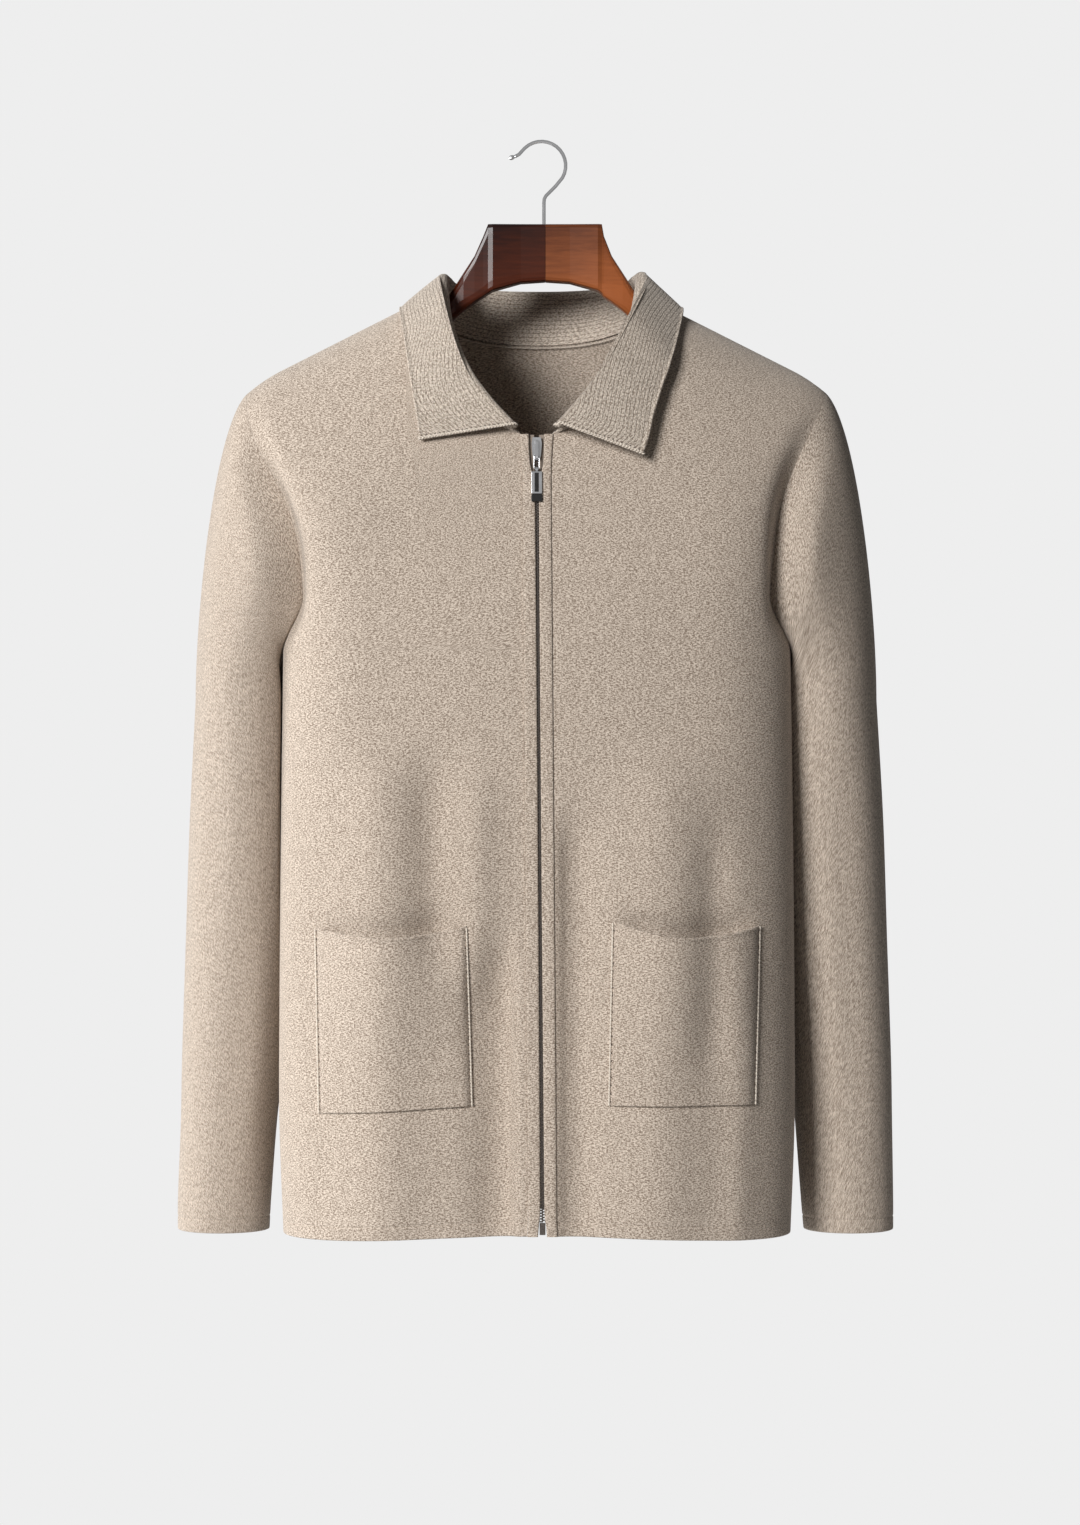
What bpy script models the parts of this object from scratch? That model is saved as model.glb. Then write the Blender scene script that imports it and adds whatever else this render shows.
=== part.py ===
"""Zip-up knitted cardigan with a turned-down collar and two patch pockets, on a wooden hanger.

Metres, +Z up, front towards -Y.  The origin is the inside top of the hanger's hook, where a rail
bears.  The cloth pieces are walls of one thickness over a surface that is worked out from the
garment's sizes: a rounded section at each height, a dome along the shoulders, and soft folds.
"""
import math
from collections import namedtuple

import bmesh
import bpy
from mathutils import Matrix, Vector

# ---------------------------------------------------------------- driving sizes, metres
GARMENT_X = -0.0033          # the garment's middle, beside the hook's crown
WALL = 0.0022                # body and sleeve knit
COLLAR_WALL = 0.0026         # collar knit
COLLAR_RISE = 0.0017         # the collar's foot above the neck edge it is linked to
POCKET_WALL = 0.0020
SEAM = 0.0003                # gap between pieces at a seam

HEM_Z = -0.7925
UNDERARM_Z = -0.3750
TIP_X = 0.2125               # shoulder tip, half of the shoulder width
TIP_Z = -0.1800
SHOULDER_SLOPE = 0.504
NECK_X = 0.0940              # half width of the neck at the shoulder seams
FRONT_EDGE_X = 0.0124        # the fronts' middle edges at the neck, beside the bands
NECK_FRONT_Z = -0.2199       # bottom of the front neck, at the zip
NECK_BACK_Z = -0.1425        # middle of the back neck
NECK_FRONT_POWER = 1.4
NECK_BACK_POWER = 2.5
DOME = 0.150                 # height over which the shoulder rounds into the front
ROUNDNESS = 2.6              # power of the body's section, 2 is an ellipse
SIDE_Y = -0.010              # the side seams lie a little forward
RIDGE_SOFT = 0.070           # half width over which the shoulder lines join behind the neck
ARMHOLE_SHARE = 0.78         # depth of the armhole's seam against the chest's depth
ARMHOLE_POWER = 1.7

ZIP_TOP_X = -0.0003          # the zip's line drifts to the side on its way down
ZIP_BOTTOM_X = 0.0040

NECK_COLUMNS = 7
SIDE_COLUMNS = 9
LOWER_ROWS = 11
UPPER_ROWS = 10

# ---------------------------------------------------------------- tables, a row for each section
Body = namedtuple("Body", "z half_width front back")
BODY = [
    Body(-0.7925, 0.1853, 0.088, 0.091),
    Body(-0.7130, 0.1883, 0.091, 0.094),
    Body(-0.6384, 0.1883, 0.090, 0.094),
    Body(-0.5265, 0.1874, 0.089, 0.092),
    Body(-0.3750, 0.1855, 0.086, 0.090),
    Body(-0.3000, 0.1850, 0.084, 0.087),
    Body(-0.2200, 0.1850, 0.083, 0.085),
    Body(-0.1000, 0.1850, 0.080, 0.082),
]

Armhole = namedtuple("Armhole", "z left_x right_x")
ARMHOLE = [
    Armhole(-0.375, 0.1855, 0.1855),
    Armhole(-0.335, 0.1825, 0.1828),
    Armhole(-0.300, 0.1832, 0.1822),
    Armhole(-0.270, 0.1893, 0.1845),
    Armhole(-0.245, 0.1975, 0.1895),
    Armhole(-0.220, 0.2075, 0.1975),
    Armhole(-0.200, 0.2118, 0.2055),
    Armhole(-0.180, 0.2125, 0.2125),
]

Sleeve = namedtuple("Sleeve", "z left_out right_out left_in right_in middle_y half_depth")
SLEEVE = [
    Sleeve(-0.801, 0.2665, 0.2643, 0.1986, 0.1978, 0.030, 0.035),
    Sleeve(-0.780, 0.2665, 0.2643, 0.1975, 0.1960, 0.030, 0.036),
    Sleeve(-0.720, 0.2643, 0.2635, 0.1930, 0.1915, 0.031, 0.040),
    Sleeve(-0.676, 0.2635, 0.2628, 0.1880, 0.1880, 0.031, 0.043),
    Sleeve(-0.587, 0.2606, 0.2598, 0.1810, 0.1810, 0.031, 0.050),
    Sleeve(-0.498, 0.2576, 0.2569, 0.1760, 0.1760, 0.031, 0.056),
    Sleeve(-0.409, 0.2531, 0.2517, 0.1730, 0.1730, 0.030, 0.062),
]
SLEEVE_ROWS = 10
CAP_ROWS = 9
SLEEVE_CLEAR = 0.0016        # sleeves hang just clear of the body

# How the sleeve leaves the armhole: turn is 0 at the shoulder tip, 1 at the underarm
Leave = namedtuple("Leave", "turn out forward down start end")
LEAVE = [
    Leave(0.00, 0.66, 0.00, 0.75, 0.11, 0.30),
    Leave(0.25, 0.74, 0.36, 0.56, 0.14, 0.32),
    Leave(0.50, 0.76, 0.50, 0.42, 0.20, 0.34),
    Leave(0.75, 0.66, 0.36, 0.56, 0.22, 0.34),
    Leave(1.00, 0.34, 0.00, 0.94, 0.30, 0.30),
]

# Soft folds: height is out of the cloth, minus is a trough
Fold = namedtuple("Fold", "face top_x top_z bottom_x bottom_z half_width height")
FOLDS = [
    Fold(-1, -0.092, -0.425, -0.090, -0.570, 0.022, -0.0060),
    Fold(-1, -0.060, -0.460, -0.057, -0.660, 0.014, 0.0035),
    Fold(-1, -0.044, -0.500, -0.036, -0.830, 0.018, -0.0060),
    Fold(-1, -0.136, -0.470, -0.130, -0.830, 0.024, 0.0030),
    Fold(-1, 0.076, -0.440, 0.083, -0.830, 0.024, 0.0045),
    Fold(-1, 0.116, -0.470, 0.124, -0.830, 0.020, -0.0050),
    Fold(-1, 0.148, -0.540, 0.150, -0.830, 0.012, 0.0025),
    Fold(1, -0.105, -0.400, -0.112, -0.830, 0.026, 0.0050),
    Fold(1, -0.050, -0.460, -0.046, -0.830, 0.024, -0.0050),
    Fold(1, 0.020, -0.380, 0.014, -0.830, 0.026, 0.0045),
    Fold(1, 0.082, -0.430, 0.090, -0.830, 0.026, -0.0055),
    Fold(1, 0.138, -0.500, 0.140, -0.830, 0.018, 0.0035),
]
FOLD_FADE = 0.060

# Collar: seam runs 0 at the zip, 1 at the shoulder seam, 2 at the middle of the back
Collar = namedtuple("Collar", "seam roll_x roll_y roll_z edge_x edge_z lift roll")
COLLAR_LEFT = [
    Collar(0.00, 0.0134, -0.0905, -0.2150, 0.0840, -0.2272, 0.0036, 0.0040),
    Collar(0.41, 0.0350, -0.0850, -0.1910, 0.0868, -0.2110, 0.0038, 0.0042),
    Collar(0.66, 0.0504, -0.0700, -0.1665, 0.0915, -0.1850, 0.0040, 0.0046),
    Collar(0.85, 0.0612, -0.0430, -0.1345, 0.0968, -0.1536, 0.0056, 0.0046),
    Collar(1.00, 0.0650, -0.0060, -0.1026, 0.1012, -0.1272, 0.0079, 0.0044),
    Collar(1.40, 0.0560, 0.0460, -0.1000, 0.0860, -0.1400, 0.0070, 0.0050),
    Collar(1.75, 0.0300, 0.0670, -0.1008, 0.0430, -0.1600, 0.0060, 0.0050),
    Collar(1.90, 0.0122, 0.0705, -0.1010, 0.0172, -0.1638, 0.0058, 0.0050),
    Collar(2.00, 0.0000, 0.0710, -0.1010, 0.0000, -0.1642, 0.0058, 0.0050),
]
COLLAR_RIGHT = [
    Collar(0.00, 0.0118, -0.0905, -0.2150, 0.0757, -0.2395, 0.0120, 0.0042),
    Collar(0.41, 0.0290, -0.0860, -0.1955, 0.0807, -0.2265, 0.0110, 0.0044),
    Collar(0.66, 0.0450, -0.0720, -0.1740, 0.0866, -0.2056, 0.0100, 0.0046),
    Collar(0.85, 0.0640, -0.0470, -0.1420, 0.0982, -0.1739, 0.0104, 0.0056),
    Collar(1.00, 0.0725, -0.0080, -0.1020, 0.1078, -0.1290, 0.0082, 0.0056),
    Collar(1.40, 0.0600, 0.0460, -0.1005, 0.0900, -0.1405, 0.0066, 0.0050),
    Collar(1.75, 0.0310, 0.0670, -0.1008, 0.0440, -0.1600, 0.0060, 0.0050),
    Collar(1.90, 0.0124, 0.0705, -0.1010, 0.0174, -0.1638, 0.0058, 0.0050),
    Collar(2.00, 0.0000, 0.0710, -0.1010, 0.0000, -0.1642, 0.0058, 0.0050),
]

# Patch pockets: corners on the front panel, and how far the mouth hangs open
Pocket = namedtuple("Pocket", "side in_top in_bottom out_top out_bottom mouth_in_z mouth_out_z "
                              "mouth_sag floor_in_z floor_out_z open")
POCKETS = [
    Pocket(-1, 0.0500, 0.0462, 0.1590, 0.1562, -0.5710, -0.5735, 0.0075, -0.6995, -0.7065, 0.0108),
    Pocket(1, 0.0540, 0.0512, 0.1600, 0.1565, -0.5680, -0.5720, 0.0095, -0.6990, -0.7000, 0.0108),
]
POCKET_OUT = 0.0010          # the pocket's back from the panel at its seams
POCKET_COLUMNS = 12
POCKET_ROWS = 9

# Zip: the two raised bands beside it, as offsets from the zip's line
Band = namedtuple("Band", "z inner outer")
BANDS = [
    Band(-0.7925, 0.0032, 0.0108),
    Band(-0.7820, 0.0023, 0.0102),
    Band(-0.2600, 0.0020, 0.0102),
    Band(-0.2500, 0.0029, 0.0103),
    Band(-0.2400, 0.0048, 0.0106),
    Band(-0.2205, 0.0056, 0.0120),
]
BAND_PROUD = 0.0017          # band's face in front of the panel
BAND_SUNK = 0.0010
TAPE_FRONT = 0.0015
TAPE_BACK = 0.0022
TAPE_INNER = 0.0018
CHAIN_HALF = 0.0015
CHAIN_DEEP = 0.0010
CHAIN_IN = 0.0015            # middle of the chain behind the panel's face
CHAIN_TOP_Z = -0.2290
CHAIN_BOTTOM_Z = -0.7825
BAND_ROWS = 20

SLIDER_TOP_Z = -0.2230
SLIDER_LENGTH = 0.0164
SLIDER_HALF = 0.0037
SLIDER_GAP = 0.0016          # half of the space between the slider's plates
SLIDER_PLATE = 0.0010
BRIDGE_HALF = 0.0010
BRIDGE_OUT = -0.0044         # bridge's outside, in front of the panel
LINK_WIRE = 0.0005
LINK_HALF = 0.0019
LINK_TOP_Z = -0.2361
LINK_BOTTOM_Z = -0.2460
LINK_OUT = 0.0022            # the link's plane in front of the panel
TAB_HALF = 0.00385
TAB_TOP_Z = -0.2479
TAB_BOTTOM_Z = -0.2640
TAB_END_Z = -0.2696
TAB_THICK = 0.0014
TAB_OUT = 0.0028
TAB_EYE = 0.0008
TAB_BARREL = 0.0014

# Hanger: each row is a section across the wood, out from the middle
HANGER_X = 0.0028
Wood = namedtuple("Wood", "x top bottom front back")
WOOD = [
    Wood(0.0000, -0.0602, -0.1020, -0.0085, 0.0085),
    Wood(0.0180, -0.0602, -0.1032, -0.0088, 0.0085),
    Wood(0.0385, -0.0602, -0.1090, -0.0100, 0.0085),
    Wood(0.0420, -0.0602, -0.1112, -0.0088, 0.0085),
    Wood(0.0455, -0.0690, -0.1135, -0.0086, 0.0086),
    Wood(0.0520, -0.0835, -0.1175, -0.0084, 0.0086),
    Wood(0.0600, -0.0955, -0.1235, -0.0080, 0.0082),
    Wood(0.0660, -0.1045, -0.1290, -0.0072, 0.0074),
    Wood(0.0770, -0.1210, -0.1390, -0.0068, 0.0070),
    Wood(0.0880, -0.1300, -0.1470, -0.0072, 0.0074),
    Wood(0.1000, -0.1345, -0.1545, -0.0085, 0.0085),
]
WOOD_RIGHT_IN = 0.0032       # the right arm leaves the crosspiece this much nearer the middle
WOOD_ARM_DROP = 0.0245       # height of the arm where the shoulder lies on it
WOOD_ARM_END = 0.1980
WOOD_SIDES = 16
WOOD_END_HALF = 0.0130
WOOD_UNDER = 0.0012          # cloth lies this far above the wood at the shoulder line

HOOK_RADIUS = 0.0013
HOOK_BALL = 0.0018
HOOK_CROWN = 0.0178          # radius of the crown, at the wire's middle
STEM_X = 0.0018
STEM_FOOT_Z = -0.0740


# ---------------------------------------------------------------- small mathematics
def smooth(share):
    """0 to 1 with soft ends."""
    share = min(max(share, 0.0), 1.0)
    return share * share * (3.0 - 2.0 * share)


def mix(first, second, share):
    return first + (second - first) * share


def table_value(rows, place, column):
    """The column's value where the table's first column is place, on a smooth curve."""
    places = [row[0] for row in rows]
    values = [getattr(row, column) for row in rows]
    if place <= places[0]:
        return values[0]
    if place >= places[-1]:
        return values[-1]
    slopes = []
    for index in range(len(rows)):
        low, high = max(index - 1, 0), min(index + 1, len(rows) - 1)
        slopes.append((values[high] - values[low]) / (places[high] - places[low]))
    index = max(k for k in range(len(rows) - 1) if places[k] <= place)
    step = places[index + 1] - places[index]
    t = (place - places[index]) / step
    return ((2 * t ** 3 - 3 * t ** 2 + 1) * values[index]
            + (t ** 3 - 2 * t ** 2 + t) * step * slopes[index]
            + (3 * t ** 2 - 2 * t ** 3) * values[index + 1]
            + (t ** 3 - t ** 2) * step * slopes[index + 1])


# ---------------------------------------------------------------- the garment's surface
def ridge_z(x):
    """Height of the shoulder line."""
    reach = abs(x)
    if reach < RIDGE_SOFT:
        reach = x * x / (2 * RIDGE_SOFT) + RIDGE_SOFT / 2
    return TIP_Z + SHOULDER_SLOPE * (TIP_X - reach)


def armhole_share(z):
    return min(max((z - UNDERARM_Z) / (TIP_Z - UNDERARM_Z), 0.0), 1.0)


def edge_x(side, z):
    """Half width at the side seam, and at the armhole's seam above the underarm."""
    if z <= UNDERARM_Z:
        return table_value(BODY, z, "half_width")
    return table_value(ARMHOLE, z, "right_x" if side > 0 else "left_x")


def side_y(z):
    """Where front and back meet at the side."""
    return SIDE_Y * (1.0 - smooth(armhole_share(z)))


def section_reach(side, z):
    """Half width of the whole rounded section, of which the panel is a part above the underarm."""
    if z <= UNDERARM_Z:
        return edge_x(side, z)
    rise = 1.0 - (1.0 - armhole_share(z)) ** ARMHOLE_POWER
    share = ARMHOLE_SHARE * max(rise, 0.0) ** (1 / ARMHOLE_POWER)
    return edge_x(side, z) / (1.0 - share ** ROUNDNESS) ** (1 / ROUNDNESS)


def fold_height(face, x, z):
    total = 0.0
    for fold in FOLDS:
        if fold.face != face:
            continue
        down = min(max((fold.top_z - z) / (fold.top_z - fold.bottom_z), 0.0), 1.0)
        middle = mix(fold.top_x, fold.bottom_x, down)
        fade = smooth((fold.top_z - z) / FOLD_FADE) * smooth((z - fold.bottom_z) / FOLD_FADE)
        total += fold.height * fade * math.exp(-((x - middle) / fold.half_width) ** 2)
    return total * (1.0 if face > 0 else smooth((abs(x) - 0.011) / 0.020))


def cloth_y(face, x, z):
    """The cloth's outer surface; face is -1 for the front and 1 for the back."""
    across = max(1.0 - (abs(x) / section_reach(1 if x > 0 else -1, z)) ** ROUNDNESS, 0.0)
    drop = min(max((ridge_z(x) - z) / DOME, 0.0), 1.0)
    dome = math.sqrt(1.0 - (1.0 - drop) ** 2)
    depth = table_value(BODY, z, "front" if face < 0 else "back")
    return side_y(z) + face * (depth * dome * across ** (1 / ROUNDNESS) + fold_height(face, x, z))


def zip_x(z):
    down = (NECK_FRONT_Z - z) / (NECK_FRONT_Z - HEM_Z)
    return mix(ZIP_TOP_X, ZIP_BOTTOM_X, min(max(down, 0.0), 1.0))


def column_shares(inner_x):
    """Places of the panel's columns, 0 at the middle edge and 1 at the side."""
    neck_share = (NECK_X - inner_x) / (TIP_X - inner_x)
    shares = [neck_share * k / NECK_COLUMNS for k in range(NECK_COLUMNS)]
    steps = 400
    walk, path = [0.0], 0.0
    last = None
    for k in range(steps + 1):
        share = mix(neck_share, 1.0, k / steps)
        deep = max(1.0 - share ** ROUNDNESS, 0.0) ** (1 / ROUNDNESS)
        point = (share * BODY[4].half_width, deep * BODY[4].front)
        if last is not None:
            path += math.dist(point, last)
            walk.append(path)
        last = point
    for k in range(SIDE_COLUMNS + 1):
        place = path * k / SIDE_COLUMNS
        index = min(range(len(walk)), key=lambda j: abs(walk[j] - place))
        shares.append(mix(neck_share, 1.0, index / steps))
    return shares


def column_x(face, side, share, z):
    outer = side * edge_x(side, z)
    inner = 0.0
    if face < 0:
        inner = zip_x(z) + side * (table_value(BANDS, z, "outer") + SEAM + 0.0001)
    return mix(inner, outer, share)


def neck_z(face, x):
    """Height of the neck's edge."""
    if face > 0:
        return mix(NECK_BACK_Z, ridge_z(NECK_X), (abs(x) / NECK_X) ** NECK_BACK_POWER)
    start = 0.012
    share = min(max((abs(x) - start) / (NECK_X - start), 0.0), 1.0)
    bowl = (1.0 - share ** NECK_FRONT_POWER) ** (1 / NECK_FRONT_POWER)
    return ridge_z(NECK_X) - (ridge_z(NECK_X) - NECK_FRONT_Z) * bowl


def column_top_z(face, side, share):
    z = -0.15
    for _ in range(20):
        x = column_x(face, side, share, z)
        z = ridge_z(x) if abs(x) >= NECK_X - 1e-6 else neck_z(face, x)
    return z


def row_heights(top):
    """Heights of a column's points, from the hem up."""
    lower = [mix(HEM_Z, UNDERARM_Z, k / LOWER_ROWS) for k in range(LOWER_ROWS)]
    upper = [mix(UNDERARM_Z, top, (1 - math.cos(math.pi * k / UPPER_ROWS)) / 2)
             for k in range(UPPER_ROWS + 1)]
    return lower + upper


def panel_column(face, side, share):
    points = []
    for z in row_heights(column_top_z(face, side, share)):
        x = column_x(face, side, share, z)
        points.append(Vector((x, cloth_y(face, x, z), z)))
    return points


# ---------------------------------------------------------------- walls from grids of points
def grid_normals(grid, closed):
    """Unit normals of a grid of points, grid[column][row]."""
    columns, rows = len(grid), len(grid[0])
    normals = []
    for c in range(columns):
        before = grid[(c - 1) % columns] if closed else grid[max(c - 1, 0)]
        after = grid[(c + 1) % columns] if closed else grid[min(c + 1, columns - 1)]
        line = []
        for r in range(rows):
            along = after[r] - before[r]
            up = grid[c][min(r + 1, rows - 1)] - grid[c][max(r - 1, 0)]
            line.append(along.cross(up).normalized())
        normals.append(line)
    return normals


def offset_grid(grid, distance, closed=False):
    normals = grid_normals(grid, closed)
    return [[point + normal * distance for point, normal in zip(column, line)]
            for column, line in zip(grid, normals)]


def make_object(name, mesh, material):
    item = bpy.data.objects.new(name, mesh)
    bpy.context.scene.collection.objects.link(item)
    mesh.materials.append(material)
    return item


def wall_object(name, outer, inner, material, closed=False):
    """A closed wall between two grids of points; closed joins the last column to the first."""
    columns, rows = len(outer), len(outer[0])
    mesh = bpy.data.meshes.new(name)
    build = bmesh.new()
    shift = Vector((GARMENT_X, 0, 0))
    face_out = [[build.verts.new(point + shift) for point in column] for column in outer]
    face_in = [[build.verts.new(point + shift) for point in column] for column in inner]
    spans = columns if closed else columns - 1
    for c in range(spans):
        n = (c + 1) % columns
        for r in range(rows - 1):
            build.faces.new((face_out[c][r], face_out[n][r], face_out[n][r + 1], face_out[c][r + 1]))
            build.faces.new((face_in[c][r], face_in[c][r + 1], face_in[n][r + 1], face_in[n][r]))
        build.faces.new((face_out[c][0], face_in[c][0], face_in[n][0], face_out[n][0]))
        build.faces.new((face_out[c][-1], face_out[n][-1], face_in[n][-1], face_in[c][-1]))
    if not closed:
        for r in range(rows - 1):
            build.faces.new((face_out[0][r], face_out[0][r + 1], face_in[0][r + 1], face_in[0][r]))
            build.faces.new((face_out[-1][r], face_in[-1][r], face_in[-1][r + 1],
                             face_out[-1][r + 1]))
    bmesh.ops.triangulate(build, faces=build.faces[:])
    bmesh.ops.recalc_face_normals(build, faces=build.faces[:])
    build.to_mesh(mesh)
    build.free()
    mesh.shade_smooth()
    mesh.set_sharp_from_angle(angle=math.radians(50))
    return make_object(name, mesh, material)


def plain_material(name, colour, roughness, metallic):
    material = bpy.data.materials.new(name)
    material.use_nodes = True
    shader = material.node_tree.nodes["Principled BSDF"]
    shader.inputs["Base Color"].default_value = (*colour, 1.0)
    shader.inputs["Roughness"].default_value = roughness
    shader.inputs["Metallic"].default_value = metallic
    material.diffuse_color = (*colour, 1.0)
    return material


# ---------------------------------------------------------------- front and back panels
def armhole_middle(side):
    return Vector((side * 0.190, -0.004, mix(UNDERARM_Z, TIP_Z, 0.5)))


def panel_walls(face, columns, side_list):
    """Outer and inner points of a panel; each keeps to its own side of the seams."""
    outer = [[point + Vector((0, face * SEAM / 2, 0)) for point in column] for column in columns]
    turn = -face
    ordered = outer if turn > 0 else outer[::-1]
    inner = offset_grid(ordered, -WALL)
    inner = inner if turn > 0 else inner[::-1]
    for column_index, side in side_list:
        centre = armhole_middle(side)
        for r, point in enumerate(outer[column_index]):
            if point.z >= UNDERARM_Z - 1e-6:
                toward = centre - point
                toward.x *= 0.3
                inner[column_index][r] = point + toward.normalized() * WALL
            else:
                inner[column_index][r] = point + Vector((-side * WALL, 0, 0))
    for column in inner:
        for point in column:
            limit = side_y(point.z) + face * SEAM / 2
            point.y = min(point.y, limit) if face < 0 else max(point.y, limit)
    return outer, inner


def front_panel(side, material):
    shares = column_shares(FRONT_EDGE_X)
    columns = [panel_column(-1, side, share) for share in shares]
    outer, inner = panel_walls(-1, columns if side > 0 else columns[::-1],
                               [(-1 if side > 0 else 0, side)])
    name = "front_right" if side > 0 else "front_left"
    wall_object(name, outer, inner, material)
    return outer, inner


def back_panel(material):
    shares = column_shares(0.0)
    right = [panel_column(1, 1, share) for share in shares]
    left = [panel_column(1, -1, share) for share in shares[1:]]
    outer, inner = panel_walls(1, left[::-1] + right, [(0, -1), (-1, 1)])
    wall_object("back", outer, inner, material)
    return outer, inner


# ---------------------------------------------------------------- sleeves
def body_side_x(side, y, z):
    """The body's half width at a depth, below the underarm."""
    depth = table_value(BODY, z, "front" if y < side_y(z) else "back")
    share = min(abs(y - side_y(z)) / depth, 1.0)
    return edge_x(side, z) * (1.0 - share ** ROUNDNESS) ** (1 / ROUNDNESS)


def sleeve_ring_point(side, angle, z):
    """A point on the sleeve's section; angle 0 is outermost and pi lies against the body."""
    out = table_value(SLEEVE, z, "right_out" if side > 0 else "left_out")
    into = table_value(SLEEVE, z, "right_in" if side > 0 else "left_in")
    x = (out + into) / 2 + (out - into) / 2 * math.cos(angle)
    y = table_value(SLEEVE, z, "middle_y") - table_value(SLEEVE, z, "half_depth") * math.sin(angle)
    x = max(x, body_side_x(side, y, z) + SLEEVE_CLEAR)
    return Vector((side * x, y, z))


def armhole_point(side, face, z):
    x = edge_x(side, z)
    return Vector((side * x, cloth_y(face, side * x, z), z))


def cap_point(side, face, start, finish, turn, share):
    """On the curve that leaves the armhole and turns down into the sleeve."""
    span = (finish - start).length
    leave = {name: table_value(LEAVE, turn, name) for name in Leave._fields[1:]}
    away = Vector((side * leave["out"], face * leave["forward"], -leave["down"]))
    first = start + away * (span * leave["start"])
    second = finish + Vector((0, 0, 1)) * (span * leave["end"])
    point = (start * (1 - share) ** 3 + first * (3 * share * (1 - share) ** 2)
             + second * (3 * share ** 2 * (1 - share)) + finish * share ** 3)
    if point.z < UNDERARM_Z:
        clear = mix(SEAM, SLEEVE_CLEAR, smooth(share * 2))
        point.x = side * max(side * point.x, body_side_x(side, point.y, point.z) + clear)
    return point


def sleeve(side, material):
    ring_z = SLEEVE[-1].z
    columns = []
    for k in range(2 * UPPER_ROWS):
        angle = math.pi * k / UPPER_ROWS
        face = -1 if k <= UPPER_ROWS else 1
        z = mix(UNDERARM_Z, TIP_Z, (1 + math.cos(angle)) / 2)
        turn = (k if k <= UPPER_ROWS else 2 * UPPER_ROWS - k) / UPPER_ROWS
        start = armhole_point(side, face, z) + Vector((side * 0.0004, 0, 0))
        finish = sleeve_ring_point(side, angle, ring_z)
        column = [cap_point(side, face, start, finish, turn, j / CAP_ROWS)
                  for j in range(CAP_ROWS)]
        for j in range(SLEEVE_ROWS + 1):
            z = mix(ring_z, SLEEVE[0].z, j / SLEEVE_ROWS)
            column.append(sleeve_ring_point(side, angle, z))
        columns.append(column)
    if side > 0:
        columns = columns[::-1]
    inner = offset_grid(columns, WALL, closed=True)
    centre = armhole_middle(side)
    for column, inside in zip(columns, inner):
        toward = centre - column[0]
        toward.x *= 0.3
        inside[0] = column[0] + toward.normalized() * WALL
    name = "sleeve_right" if side > 0 else "sleeve_left"
    return wall_object(name, columns, inner, material, closed=True)


# ---------------------------------------------------------------- collar
def push_clear(point, clearance):
    """Moves a point out of the body's cloth, away from the dome of the shoulder."""
    face = -1 if point.y < 0 else 1
    top = ridge_z(point.x)
    if point.z <= top - DOME:
        limit = cloth_y(face, point.x, point.z) + face * clearance
        return Vector((point.x, face * max(face * point.y, face * limit), point.z))
    arm = Vector((0, point.y, point.z - (top - DOME)))
    depth = abs(cloth_y(face, point.x, top - DOME))
    surface = arm.length / math.sqrt((arm.y / depth) ** 2 + (arm.z / DOME) ** 2)
    if arm.length < surface + clearance:
        arm = arm.normalized() * (surface + clearance)
    return Vector((point.x, arm.y, top - DOME + arm.z))


def collar_section(side, seam, base):
    """Points across the collar's shown side: up the stand, over the roll and down the fall."""
    table = COLLAR_RIGHT if side > 0 else COLLAR_LEFT
    at = {name: table_value(table, seam, name) for name in Collar._fields[1:]}
    face = -1 if seam <= 1 else 1
    apex = Vector((side * at["roll_x"], at["roll_y"], at["roll_z"]))
    edge = Vector((side * at["edge_x"], 0, at["edge_z"]))
    low = min(edge.z, ridge_z(edge.x) - 0.0015)
    edge.y = cloth_y(face, edge.x, low)
    edge = push_clear(edge, at["lift"])
    down = (edge - apex).normalized()
    step = 0.004
    lean = (cloth_y(face, edge.x + step, low - step) - cloth_y(face, edge.x, low - step)) / step
    drop = (cloth_y(face, edge.x, low) - cloth_y(face, edge.x, low - step)) / step
    normal = Vector((-lean, 1, -drop)) * face
    normal = (normal - down * normal.dot(down)).normalized()
    roll = at["roll"]
    into = apex + (down - normal) * roll
    points = [base, mix(base, into, 0.5), into]
    for angle in (45, 90, 135):
        turn = math.radians(angle)
        points.append(apex + down * roll * (1 - math.sin(turn)) - normal * roll * math.cos(turn))
    start = apex + (down + normal) * roll
    for share in (0.0, 0.3, 0.65, 1.0):
        lift = mix(at["lift"] + 2 * roll, at["lift"], smooth(share))
        point = mix(start, edge, share)
        if share < 1.0:
            point = push_clear(point, min(lift, at["lift"] + roll * (1 - share)))
        points.append(point)
    return points


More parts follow.
